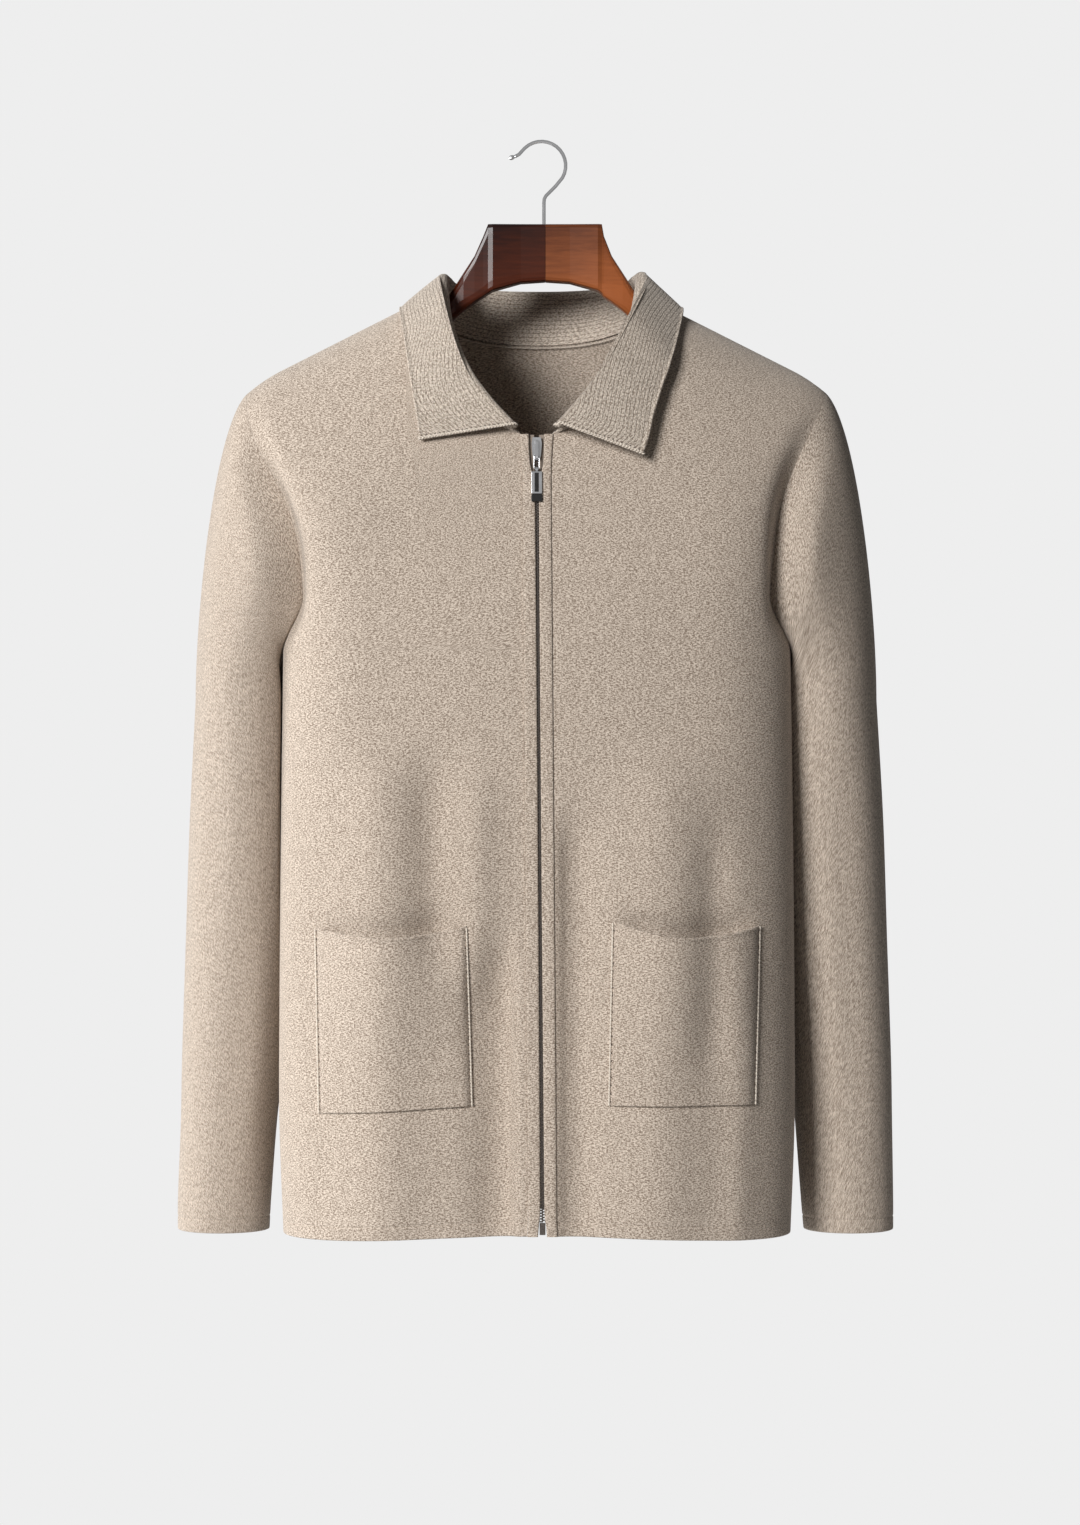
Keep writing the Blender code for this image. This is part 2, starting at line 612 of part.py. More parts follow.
def collar(fronts, back, material):
    """Built on the panels' own neck edges, a seam's gap above them."""
    base = []
    left_outer, left_inner = fronts[-1]
    right_outer, right_inner = fronts[1]
    back_outer, back_inner = back
    middle = len(back_outer) // 2
    for k in range(NECK_COLUMNS + 1):
        base.append((-1, k / NECK_COLUMNS, left_outer[len(left_outer) - 1 - k],
                     left_inner[len(left_inner) - 1 - k]))
    for k in range(NECK_COLUMNS - 1, -NECK_COLUMNS, -1):
        side = -1 if k > 0 else 1
        base.append((side, 2 - abs(k) / NECK_COLUMNS, back_outer[middle - k],
                     back_inner[middle - k]))
    for k in range(NECK_COLUMNS, -1, -1):
        base.append((1, k / NECK_COLUMNS, right_outer[k], right_inner[k]))
    shown, hidden_start = [], []
    for side, seam, outer, inner in base:
        inward = Vector((-side * 0.9, 0, 0.45))
        turned = (1 - abs(seam - 1)) ** 2
        rise = (outer[-1] - outer[-2]).normalized() * (1 - turned) + inward * turned
        rise = rise.normalized() * COLLAR_RISE
        hidden_start.append(outer[-1] + rise)
        shown.append(collar_section(side, seam, inner[-1] + rise))
    hidden = offset_grid(shown, -COLLAR_WALL)
    for column, start in zip(hidden, hidden_start):
        column[0] = start
        column[1] = mix(start, column[2], 0.5)
    return wall_object("collar", shown, hidden, material)


# ---------------------------------------------------------------- pockets
def pocket(row, material):
    columns = []
    for c in range(POCKET_COLUMNS + 1):
        across = c / POCKET_COLUMNS
        mouth = mix(row.mouth_in_z, row.mouth_out_z, across)
        mouth -= row.mouth_sag * math.sin(math.pi * across)
        floor = mix(row.floor_in_z, row.floor_out_z, across)
        column = []
        for r in range(POCKET_ROWS + 1):
            up = r / POCKET_ROWS
            z = mix(floor, mouth, up)
            x = mix(mix(row.in_bottom, row.out_bottom, across),
                    mix(row.in_top, row.out_top, across), up)
            hang = row.open * smooth(up * 1.25) * math.sin(math.pi * across) ** 0.8
            fill = 0.0035 * math.sin(math.pi * min(up, 0.5)) * math.sin(math.pi * across) ** 0.6
            out = POCKET_OUT + POCKET_WALL + max(hang, fill)
            column.append(Vector((row.side * x, cloth_y(-1, row.side * x, z) - out, z)))
        columns.append(column)
    if row.side < 0:
        columns = columns[::-1]
    inner = [[point + Vector((0, POCKET_WALL, 0)) for point in column] for column in columns]
    return wall_object("pocket_right" if row.side > 0 else "pocket_left", columns, inner, material)


# ---------------------------------------------------------------- zip
def strip(name, profile, heights, material):
    """A closed bar down the zip; profile gives its corners at a height, counterclockwise."""
    mesh = bpy.data.meshes.new(name)
    build = bmesh.new()
    rings = [[build.verts.new(point + Vector((GARMENT_X, 0, 0))) for point in profile(z)]
             for z in heights]
    for low, high in zip(rings, rings[1:]):
        for k in range(len(low)):
            n = (k + 1) % len(low)
            build.faces.new((low[k], low[n], high[n], high[k]))
    build.faces.new(rings[0][::-1])
    build.faces.new(rings[-1])
    bmesh.ops.triangulate(build, faces=build.faces[:])
    bmesh.ops.recalc_face_normals(build, faces=build.faces[:])
    build.to_mesh(mesh)
    build.free()
    mesh.shade_smooth()
    mesh.set_sharp_from_angle(angle=math.radians(50))
    return make_object(name, mesh, material)


def zip_y(z, offset=0.0):
    return cloth_y(-1, zip_x(z) + offset, z)


def band(side, material):
    heights = [mix(HEM_Z, UNDERARM_Z, k / 12) for k in range(12)]
    heights += [mix(UNDERARM_Z, -0.262, k / 5) for k in range(5)]
    heights += [-0.262, -0.256, -0.250, -0.245, -0.240, -0.231, NECK_FRONT_Z - 0.0006]

    def profile(z):
        inner = table_value(BANDS, z, "inner")
        outer = table_value(BANDS, z, "outer")
        spots = ((0.0, 0.6), (0.12, 0.92), (0.3, 1.0), (0.7, 1.0), (0.88, 0.92), (1.0, 0.6),
                 (1.0, 0.0), (0.0, 0.0))
        points = []
        for across, proud in spots:
            offset = side * mix(inner, outer, across)
            y = zip_y(z, offset) + BAND_SUNK - (BAND_SUNK + BAND_PROUD) * proud
            points.append(Vector((zip_x(z) + offset, y, z)))
        return points

    return strip("zip_band_right" if side > 0 else "zip_band_left", profile, heights, material)


def tape(side, material):
    heights = [mix(CHAIN_BOTTOM_Z, NECK_FRONT_Z - 0.0010, k / BAND_ROWS)
               for k in range(BAND_ROWS + 1)]

    def profile(z):
        points = []
        outer = table_value(BANDS, z, "outer") - 0.0004
        for offset, deep in ((TAPE_INNER, TAPE_FRONT), (outer, TAPE_FRONT), (outer, TAPE_BACK),
                             (TAPE_INNER, TAPE_BACK)):
            x = side * offset
            points.append(Vector((zip_x(z) + x, zip_y(z, x) + deep, z)))
        return points

    return strip("zip_tape_right" if side > 0 else "zip_tape_left", profile, heights, material)


def chain(material):
    heights = [mix(CHAIN_BOTTOM_Z, CHAIN_TOP_Z, k / BAND_ROWS) for k in range(BAND_ROWS + 1)]

    def profile(z):
        middle = zip_y(z) + CHAIN_IN
        return [Vector((zip_x(z) + CHAIN_HALF * across, middle + CHAIN_DEEP * deep, z))
                for across, deep in ((-1, -0.5), (-0.5, -1), (0.5, -1), (1, -0.5),
                                     (1, 0.5), (0.5, 1), (-0.5, 1), (-1, 0.5))]

    return strip("zip_chain", profile, heights, material)


def place_empty(name, location, parent=None, slope=0.0):
    """A point that hard pieces hang from; slope leans it back with the cloth behind it."""
    spot = bpy.data.objects.new(name, None)
    bpy.context.scene.collection.objects.link(spot)
    spot.location = location
    spot.rotation_euler.x = slope
    spot.parent = parent
    return spot


def block(name, low, high, material, parent=None, bevel=0.0):
    """A box between two corners, with its edges rounded."""
    mesh = bpy.data.meshes.new(name)
    build = bmesh.new()
    size = Vector(high) - Vector(low)
    middle = (Vector(high) + Vector(low)) / 2
    bmesh.ops.create_cube(build, size=1.0)
    bmesh.ops.scale(build, vec=size, verts=build.verts[:])
    bmesh.ops.translate(build, vec=middle, verts=build.verts[:])
    if bevel:
        bmesh.ops.bevel(build, geom=build.edges[:], offset=bevel, segments=2, affect="EDGES",
                        profile=0.5)
    build.to_mesh(mesh)
    build.free()
    item = make_object(name, mesh, material)
    item.parent = parent
    return item


def cut_plate(name, outline, low, high, axis, material, parent):
    """A plate with an outline in two axes, extruded from low to high along the third.

    Axis x takes the outline as (y, z), axis y as (x, z).
    """
    mesh = bpy.data.meshes.new(name)
    build = bmesh.new()

    def corner(pair, depth):
        return (depth, *pair) if axis == "x" else (pair[0], depth, pair[1])

    near = [build.verts.new(corner(pair, low)) for pair in outline]
    far = [build.verts.new(corner(pair, high)) for pair in outline]
    build.faces.new(near)
    build.faces.new(far[::-1])
    for k in range(len(outline)):
        n = (k + 1) % len(outline)
        build.faces.new((near[k], far[k], far[n], near[n]))
    build.normal_update()
    bmesh.ops.triangulate(build, faces=build.faces[:])
    bmesh.ops.recalc_face_normals(build, faces=build.faces[:])
    build.to_mesh(mesh)
    build.free()
    item = make_object(name, mesh, material)
    item.parent = parent
    return item


def join_solids(first, others, operation="UNION", solver="EXACT"):
    """Booleans the others into the first and hides them as guides."""
    for other in others:
        change = first.modifiers.new(other.name, "BOOLEAN")
        change.operation = operation
        change.solver = solver
        change.object = other
        other.hide_render = True
        other.display_type = "WIRE"
    return first


def arc(middle, radius, start, finish, steps):
    """Points on a circle, degrees counterclockwise."""
    points = []
    for k in range(steps + 1):
        angle = math.radians(mix(start, finish, k / steps))
        points.append((middle[0] + radius * math.cos(angle), middle[1] + radius * math.sin(angle)))
    return points


def slider_place():
    """On the panel's face at the slider's top, leaning as the cloth does down to the tab's end."""
    lean = (zip_y(TAB_END_Z) - zip_y(SLIDER_TOP_Z)) / (SLIDER_TOP_Z - TAB_END_Z)
    where = (GARMENT_X + zip_x(SLIDER_TOP_Z - SLIDER_LENGTH), zip_y(SLIDER_TOP_Z), SLIDER_TOP_Z)
    return place_empty("slider_place", where, slope=math.atan(lean))


def slider(place, material):
    """Two plates on a wedge, with a bridge in front that the link passes under."""
    corner = SLIDER_HALF * 0.8
    outline = [(corner, 0.0), (-corner, 0.0), (-SLIDER_HALF, -0.0045)]
    outline += arc((0.0, corner - SLIDER_LENGTH), corner, 180, 360, 8)
    outline += [(SLIDER_HALF, -0.0045)]
    front_in, back_in = CHAIN_IN - SLIDER_GAP, CHAIN_IN + SLIDER_GAP
    front_out = front_in - SLIDER_PLATE
    body = cut_plate("zip_slider", outline, front_out, front_in, "y", material, place)
    back = cut_plate("slider_back_guide", outline, back_in, back_in + SLIDER_PLATE, "y",
                     material, place)
    wedge = block("slider_wedge_guide", (-0.0009, front_in - 0.0004, -0.0050),
                  (0.0009, back_in + 0.0004, -0.0004), material, place)
    sunk = front_out + 0.0004
    top, low = -0.0022, -0.0154
    outside = [(sunk, top), (BRIDGE_OUT + 0.0012, top), (BRIDGE_OUT, top - 0.0014),
               (BRIDGE_OUT, low + 0.0012), (BRIDGE_OUT + 0.0010, low), (sunk, low)]
    inside = BRIDGE_OUT + 0.0011
    eye = [(sunk, low + 0.0009), (inside + 0.0002, low + 0.0009), (inside, low + 0.0011),
           (inside, top - 0.0028), (sunk, top - 0.0028)]
    bridge = cut_plate("slider_bridge_guide", outside + eye, -BRIDGE_HALF, BRIDGE_HALF, "x",
                       material, place)
    join_solids(body, [back, wedge])
    join_solids(body, [bridge], solver="MANIFOLD")


def link(hinge, material):
    """A narrow ring of round wire; its top bar lies on the hinge under the bridge."""
    corner = 0.0009
    length = LINK_TOP_Z - LINK_BOTTOM_Z
    points = []
    for side, z, start in ((1, -corner, 0), (-1, -corner, 90), (-1, corner - length, 180),
                           (1, corner - length, 270)):
        points += arc((side * (LINK_HALF - corner), z), corner, start, start + 90, 3)
    points = [Vector((x, 0, z)) for x, z in points]
    mesh = bpy.data.meshes.new("pull_link")
    build = bmesh.new()
    rings = []
    front = Vector((0, 1, 0))
    for k, point in enumerate(points):
        along = (points[(k + 1) % len(points)] - points[k - 1]).normalized()
        across = along.cross(front)
        rings.append([build.verts.new(point + (across * math.cos(turn) + front * math.sin(turn))
                                      * LINK_WIRE)
                      for turn in (math.tau * j / 8 for j in range(8))])
    for k, ring in enumerate(rings):
        after = rings[(k + 1) % len(rings)]
        for j in range(8):
            n = (j + 1) % 8
            build.faces.new((ring[j], ring[n], after[n], after[j]))
    bmesh.ops.recalc_face_normals(build, faces=build.faces[:])
    build.to_mesh(mesh)
    build.free()
    mesh.shade_smooth()
    item = make_object("pull_link", mesh, material)
    item.parent = hinge


def pull_tab(hinge, metal, black):
    """Metal frame on an eye around the link's lower bar, with a black inlay and a black end."""
    out = LINK_OUT - TAB_OUT
    front, back = out - TAB_THICK / 2, out + TAB_THICK / 2
    top, bottom, end = (z - LINK_BOTTOM_Z for z in (TAB_TOP_Z, TAB_BOTTOM_Z, TAB_END_Z))
    frame = block("pull_tab", (-TAB_HALF, front, bottom), (TAB_HALF, back, top), metal, hinge,
                  bevel=0.0003)
    barrel = cut_plate("tab_barrel_guide", arc((0, 0), TAB_BARREL, 0, 360, 16)[:-1], -0.0010,
                       0.0010, "x", metal, hinge)
    neck = block("tab_neck_guide", (-0.0008, out - 0.0005, top - 0.0006),
                 (0.0008, out + 0.0006, -0.0010), metal, hinge)
    bore = cut_plate("tab_bore_guide", arc((0, 0), TAB_EYE, 0, 360, 12)[:-1], -0.003, 0.003, "x",
                     metal, hinge)
    slot = block("tab_slot_guide", (-0.0015, front - 0.001, bottom + 0.0013),
                 (0.0015, back + 0.001, top - 0.0010), metal, hinge)
    join_solids(frame, [barrel, neck], solver="MANIFOLD")
    join_solids(frame, [bore, slot], "DIFFERENCE", "MANIFOLD")
    block("pull_inlay", (-0.0012, front + 0.0002, bottom + 0.0016),
          (0.0012, back - 0.0001, top - 0.0013), black, hinge, bevel=0.0001)
    block("pull_end", (-TAB_HALF, front - 0.0001, end), (TAB_HALF, back, bottom - SEAM), black,
          hinge, bevel=0.0003)


def zip_box(material):
    """The retainer at the zip's lower end, between the bands."""
    z = HEM_Z + 0.0012
    middle_x = GARMENT_X + zip_x(z)
    face = zip_y(z)
    block("zip_box", (middle_x - 0.0021, face + 0.0001, z),
          (middle_x + 0.0021, face + 0.0029, CHAIN_BOTTOM_Z - SEAM), material, bevel=0.0004)


# ---------------------------------------------------------------- hanger
def wood_rows():
    """The table's sections, then the arm under the shoulder out to its rounded end."""
    rows = list(WOOD)
    count = 5
    start = WOOD[-1].x
    for k in range(1, count + 1):
        share = k / count
        x = mix(start, WOOD_ARM_END, share)
        rows.append(Wood(x, None, None, -mix(0.0095, WOOD_END_HALF, share),
                         mix(0.0095, WOOD_END_HALF, share)))
    return rows


def hanger_half(side, material):
    """Sections of the wood, rounded where the cloth lies and square at the joint."""
    mesh = bpy.data.meshes.new("hanger")
    build = bmesh.new()
    rings = []
    rows = wood_rows()
    for index, row in enumerate(rows):
        reach = row.x if index else SEAM / 2
        if side > 0:
            reach -= WOOD_RIGHT_IN * smooth((row.x - 0.040) / 0.008) * smooth((0.14 - row.x) / 0.06)
        x = HANGER_X + side * reach
        if row.top is None:
            shrink = 0.72 if index == len(rows) - 1 else 1.0
            top = ridge_z(x - GARMENT_X) - WALL - WOOD_UNDER
            middle_z = top - WOOD_ARM_DROP / 2
            half_z = WOOD_ARM_DROP / 2 * shrink
        else:
            shrink = 1.0
            middle_z = (row.top + row.bottom) / 2
            half_z = (row.top - row.bottom) / 2
        middle_y = (row.front + row.back) / 2
        half_y = (row.back - row.front) / 2 * shrink
        sharp = 9.0 if row.x < 0.043 else mix(9.0, 2.2, smooth((row.x - 0.043) / 0.025))
        ring = []
        for k in range(WOOD_SIDES):
            turn = math.tau * (k + 0.5) / WOOD_SIDES
            c, s = math.cos(turn), math.sin(turn)
            ring.append(build.verts.new((
                x, middle_y + half_y * math.copysign(abs(c) ** (2 / sharp), c),
                middle_z + half_z * math.copysign(abs(s) ** (2 / sharp), s))))
        rings.append(ring)
    for low, high in zip(rings, rings[1:]):
        for k in range(len(low)):
            n = (k + 1) % len(low)
            build.faces.new((low[k], low[n], high[n], high[k]))
    build.faces.new(rings[0])
    build.faces.new(rings[-1])
    bmesh.ops.triangulate(build, faces=build.faces[:])
    bmesh.ops.recalc_face_normals(build, faces=build.faces[:])
    build.to_mesh(mesh)
    build.free()
    mesh.shade_smooth()
    mesh.set_sharp_from_angle(angle=math.radians(35))
    return make_object("hanger_right" if side > 0 else "hanger_left", mesh, material)


def hook_points():
    """The wire's middle line, from its tip over the crown and down the stem."""
    crown_z = HOOK_RADIUS - HOOK_CROWN
    points = [(-0.0222, -0.0107), (-0.0190, -0.0096), (-0.0166, -0.0083)]
    points += arc((0.0, crown_z), HOOK_CROWN, 134, -30, 14)
    points += [(0.0102, -0.0318), (0.0060, -0.0360), (0.0032, -0.0388), (STEM_X + 0.0002, -0.0412),
               (STEM_X, -0.0440), (STEM_X, STEM_FOOT_Z)]
    return [Vector((x, 0, z)) for x, z in points]


def hook(material):
    """One wire with a round tip."""
    mesh = bpy.data.meshes.new("hanger_hook")
    build = bmesh.new()
    points = hook_points()
    sides = 10
    front = Vector((0, 1, 0))
    heading = (points[0] - points[1]).normalized()
    ball = [(-1.35, 0.62), (-0.7, 0.93), (0.0, 1.0), (0.6, 0.82), (0.92, 0.42)]
    tip = points[0]
    path = [(tip + heading * HOOK_BALL * along, HOOK_BALL * size, heading) for along, size in ball]
    path.reverse()
    for k in range(1, len(points)):
        after = points[min(k + 1, len(points) - 1)]
        path.append((points[k], HOOK_RADIUS, (points[k - 1] - after).normalized()))
    rings = []
    for point, radius, along in path:
        across = along.cross(front)
        rings.append([build.verts.new(point + (across * math.cos(turn) + front * math.sin(turn))
                                      * radius)
                      for turn in (math.tau * j / sides for j in range(sides))])
    for ring, after in zip(rings, rings[1:]):
        for j in range(sides):
            n = (j + 1) % sides
            build.faces.new((ring[j], ring[n], after[n], after[j]))
    build.faces.new(rings[0])
    build.faces.new(rings[-1])
    bmesh.ops.recalc_face_normals(build, faces=build.faces[:])
    build.to_mesh(mesh)
    build.free()
    mesh.shade_smooth()
    return make_object("hanger_hook", mesh, material)


def stem_bore(halves, material):
    """The hole in the wood that the stem stands in, cut half from each side."""
    mesh = bpy.data.meshes.new("stem_bore_guide")
    build = bmesh.new()
    top, foot = WOOD[0].top + 0.004, STEM_FOOT_Z - 0.0005
    bmesh.ops.create_cone(build, cap_ends=True, segments=16, radius1=HOOK_RADIUS + SEAM + 0.0001,
                          radius2=HOOK_RADIUS + SEAM + 0.0001, depth=top - foot,
                          matrix=Matrix.Translation((STEM_X, 0, (top + foot) / 2)))
    build.to_mesh(mesh)
    build.free()
    bore = make_object("stem_bore_guide", mesh, material)
    for half in halves:
        join_solids(half, [bore], "DIFFERENCE")


# ---------------------------------------------------------------- the whole part
for old in list(bpy.data.objects):
    bpy.data.objects.remove(old)

knit = plain_material("oatmeal knit", (0.46, 0.39, 0.32), 0.92, 0.0)
rib = plain_material("collar knit", (0.45, 0.38, 0.31), 0.92, 0.0)
tape_cloth = plain_material("zip tape", (0.36, 0.30, 0.25), 0.85, 0.0)
chrome = plain_material("bright nickel", (0.72, 0.72, 0.72), 0.18, 1.0)
dark_metal = plain_material("dark zip metal", (0.16, 0.13, 0.11), 0.35, 1.0)
enamel = plain_material("black enamel", (0.01, 0.01, 0.01), 0.25, 0.0)
wood = plain_material("red-brown lacquered wood", (0.16, 0.045, 0.012), 0.2, 0.0)

front_walls = {side: front_panel(side, knit) for side in (-1, 1)}
back_walls = back_panel(knit)
for cloth_side in (-1, 1):
    sleeve(cloth_side, knit)
    band(cloth_side, knit)
    tape(cloth_side, tape_cloth)
collar(front_walls, back_walls, rib)
for pocket_row in POCKETS:
    pocket(pocket_row, knit)
chain(dark_metal)
zip_box(dark_metal)
place = slider_place()
slider(place, chrome)
link_hinge = place_empty("link_hinge", (0, -LINK_OUT, LINK_TOP_Z - SLIDER_TOP_Z), place)
link(link_hinge, chrome)
tab_hinge = place_empty("tab_hinge", (0, 0, LINK_BOTTOM_Z - LINK_TOP_Z), link_hinge)
pull_tab(tab_hinge, chrome, enamel)
wood_halves = [hanger_half(side, wood) for side in (-1, 1)]
stem_bore(wood_halves, wood)
hook(chrome)
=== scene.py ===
"""A zip-up knitted cardigan with a turned-down collar, hung on a lacquered wooden hanger."""
import math

import bpy
import numpy as np
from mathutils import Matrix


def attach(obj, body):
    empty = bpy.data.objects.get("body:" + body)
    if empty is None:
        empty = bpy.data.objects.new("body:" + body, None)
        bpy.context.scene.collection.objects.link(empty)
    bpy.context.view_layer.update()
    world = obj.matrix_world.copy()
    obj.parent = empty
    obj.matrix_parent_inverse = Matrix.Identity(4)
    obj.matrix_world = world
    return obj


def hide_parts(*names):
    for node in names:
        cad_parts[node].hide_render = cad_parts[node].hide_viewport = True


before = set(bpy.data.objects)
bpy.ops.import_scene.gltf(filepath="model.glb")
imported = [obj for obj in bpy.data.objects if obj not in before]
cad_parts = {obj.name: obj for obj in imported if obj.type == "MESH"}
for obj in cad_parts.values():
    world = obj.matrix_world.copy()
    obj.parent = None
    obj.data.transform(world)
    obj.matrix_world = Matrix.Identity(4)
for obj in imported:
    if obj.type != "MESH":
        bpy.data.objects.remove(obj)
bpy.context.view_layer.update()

# ---------------------------------------------------------------- studio
# A pale floor below the garment and pale air all round it.  One large soft light stands in front
# and to the left, another at the left.  The camera is level with the garment's middle.
eye = bpy.data.objects.new("camera", bpy.data.cameras.new("camera"))
bpy.context.scene.collection.objects.link(eye)
eye.location = (-0.0011, -3.0, -0.4552)
eye.rotation_euler = (math.pi / 2, 0, 0)
eye.data.lens = 96.35
bpy.context.scene.camera = eye
bpy.context.scene.view_settings.view_transform = "Standard"


class Finish:
    """A socket in a tree of nodes.  Sums on it add Math nodes, node() adds any other."""

    def __init__(self, tree, socket=None):
        self.tree = tree
        self.socket = socket

    def node(self, kind, sockets=None, out=0, **settings):
        made = self.tree.nodes.new(kind)
        for name, value in settings.items():
            setattr(made, name, value)
        for name, value in (sockets or {}).items():
            if isinstance(value, Finish):
                self.tree.links.new(value.socket, made.inputs[name])
            else:
                made.inputs[name].default_value = value
        return Finish(self.tree, made.outputs[out])

    def other(self, out):
        """Another output of the same node."""
        return Finish(self.tree, self.socket.node.outputs[out])

    def feed(self, socket):
        self.tree.links.new(self.socket, socket)

    def sum(self, operation, first, second=0.0):
        return self.node("ShaderNodeMath", {0: first, 1: second}, operation=operation)

    def __add__(self, other):
        return self.sum("ADD", self, other)

    __radd__ = __add__

    def __sub__(self, other):
        return self.sum("SUBTRACT", self, other)

    def __rsub__(self, other):
        return self.sum("SUBTRACT", other, self)

    def __mul__(self, other):
        return self.sum("MULTIPLY", self, other)

    __rmul__ = __mul__

    def __truediv__(self, other):
        return self.sum("DIVIDE", self, other)

    def __pow__(self, other):
        return self.sum("POWER", self, other)


def new_finish(name, roughness, metallic=0.0, **constants):
    """A material, its shader and a start for its nodes."""
    material = bpy.data.materials.new(name)
    material.use_nodes = True
    shader = material.node_tree.nodes["Principled BSDF"]
    shader.inputs["Roughness"].default_value = roughness
    shader.inputs["Metallic"].default_value = metallic
    for socket, value in constants.items():
        shader.inputs[socket.replace("_", " ")].default_value = value
    return material, shader, Finish(material.node_tree)


def two_tone(start, factor, dark, light, shader):
    """Mixes the shader's base colour from two shades."""
    start.node("ShaderNodeMix", {"Factor": factor, "A": (*dark, 1), "B": (*light, 1)},
               out="Result", data_type="RGBA").feed(shader.inputs["Base Color"])


def relief_of(start, height, strength, depth, shader):
    """Raises the shader's surface by a bump."""
    start.node("ShaderNodeBump", {"Height": height, "Strength": strength, "Distance": depth},
               out="Normal").feed(shader.inputs["Normal"])


def noise(start, place, scale, detail, **more):
    return start.node("ShaderNodeTexNoise", {"Vector": place, "Scale": scale, "Detail": detail,
                                             **more})


# The air looks bright, shows fairly bright in polished pieces, and lights the cloth only weakly.
AIR_SEEN, AIR_MIRRORED, AIR_LIGHT = 0.765, 0.22, 0.09
air = bpy.data.worlds.new("pale_air")
bpy.context.scene.world = air
air.use_nodes = True
air_start = Finish(air.node_tree)
seen = air_start.node("ShaderNodeLightPath")
air_light = air.node_tree.nodes["Background"]
(seen * AIR_SEEN + seen.other("Is Glossy Ray") * AIR_MIRRORED
 + AIR_LIGHT).feed(air_light.inputs["Strength"])
air_light.inputs["Color"].default_value = (1.0, 1.0, 1.0, 1.0)


def soft_light(name, place, aim, width, height, power):
    """A rectangle of light at a place, turned to what it is aimed at."""
    lamp = bpy.data.objects.new(name, bpy.data.lights.new(name, "AREA"))
    bpy.context.scene.collection.objects.link(lamp)
    lamp.data.shape = "RECTANGLE"
    lamp.data.size, lamp.data.size_y, lamp.data.energy = width, height, power
    lamp.location = place
    away = np.array(place) - np.array(aim)
    lamp.rotation_euler = (math.acos(away[2] / np.linalg.norm(away)), 0,
                           math.atan2(away[0], -away[1]))


MIDDLE = (0.0, 0.0, -0.45)
soft_light("window_front", (-3.2, -5.4, 1.4), MIDDLE, 2.0, 2.0, 480.0)
soft_light("window_left", (-5.8, 1.2, 0.3), MIDDLE, 2.0, 3.0, 290.0)

bpy.ops.object.select_all(action="DESELECT")
bpy.ops.mesh.primitive_cylinder_add(vertices=96, radius=1.0, depth=0.02)
floor = bpy.context.object
floor.name = "floor"
bpy.ops.object.mode_set(mode="EDIT")
bpy.ops.mesh.select_all(action="SELECT")
bpy.ops.transform.resize(value=(0.95, 0.75, 1.0))
bpy.ops.transform.translate(value=(0.0, -0.17, -1.17))
bpy.ops.object.mode_set(mode="OBJECT")
floor_finish, floor_shader, start = new_finish("pale_floor", 0.7)
spot = start.node("ShaderNodeTexCoord", out="Object")
grain = noise(start, spot, 6.0, 2.0)
two_tone(start, grain, (0.78, 0.78, 0.78), (0.84, 0.84, 0.84), floor_shader)
floor.data.materials.append(floor_finish)

# ---------------------------------------------------------------- fronts and back
# Oatmeal wool, knitted fine in plain stitch and a little felted, about two millimetres thick.
# The panels are knitted to shape and linked at the shoulders and sides; each carries its own
# soft folds, which begin below the chest and deepen towards the pockets.
GARMENT_X = -0.0033
WALL = 0.0022
SEAM = 0.0001
HEM_Z, UNDERARM_Z = -0.7925, -0.3750
HEM_DROP = 0.0055                         # the hem hangs this much lower at the sides
HEM_LINE, LINE_DEPTH, LINE_WIDTH = 0.0100, 0.0005, 0.0006      # the linking above the edge
HEM_ROWS = np.array((0.0, 0.0003, 0.0007, 0.0013, 0.0025, 0.0050, 0.0080, 0.0090, 0.0096, 0.0100,
                     0.0104, 0.0110, 0.0120))
FRONT_EDGE_X = 0.0124                     # the fronts' middle edges at the neck
TIP_X, TIP_Z, SHOULDER_SLOPE = 0.2125, -0.1800, 0.504
TIP_SOFT, TIP_DROOP = 0.0245, 0.0042      # the tip rounds off where the sleeve is set in
NECK_X, NECK_FRONT_Z, NECK_BACK_Z = 0.0940, -0.2199, -0.1425
NECK_FLAT = 0.012                         # half of the neck's level part at the zip
DOME, ROUNDNESS, RIDGE_SOFT = 0.150, 2.6, 0.070
ZIP_TOP_X, ZIP_BOTTOM_X = -0.0003, 0.0040
VALLEY_DEPTH, VALLEY_WIDTH = 0.0145, 0.0120      # the cloth sinks along the armhole's seam
VALLEY_GROWS, VALLEY_ENDS = 0.095, 0.040  # over these heights below the tip and at the underarm
HOLLOW_DEPTH = 0.0060                     # and behind a pocket's mouth
NECK_COLUMNS, SIDE_COLUMNS, LOWER_ROWS, UPPER_ROWS = 35, 40, 62, 60
COLLAR_STEP = 5                           # the collar is linked to each fifth column

# z, half width, depth of the front, depth of the back
BODY = ((-0.7925, 0.1853, 0.088, 0.091), (-0.7130, 0.1883, 0.091, 0.094),
        (-0.6384, 0.1883, 0.090, 0.094), (-0.5265, 0.1874, 0.089, 0.092),
        (-0.3750, 0.1855, 0.086, 0.090), (-0.3000, 0.1850, 0.084, 0.087),
        (-0.2200, 0.1850, 0.083, 0.085), (-0.1000, 0.1850, 0.080, 0.082))
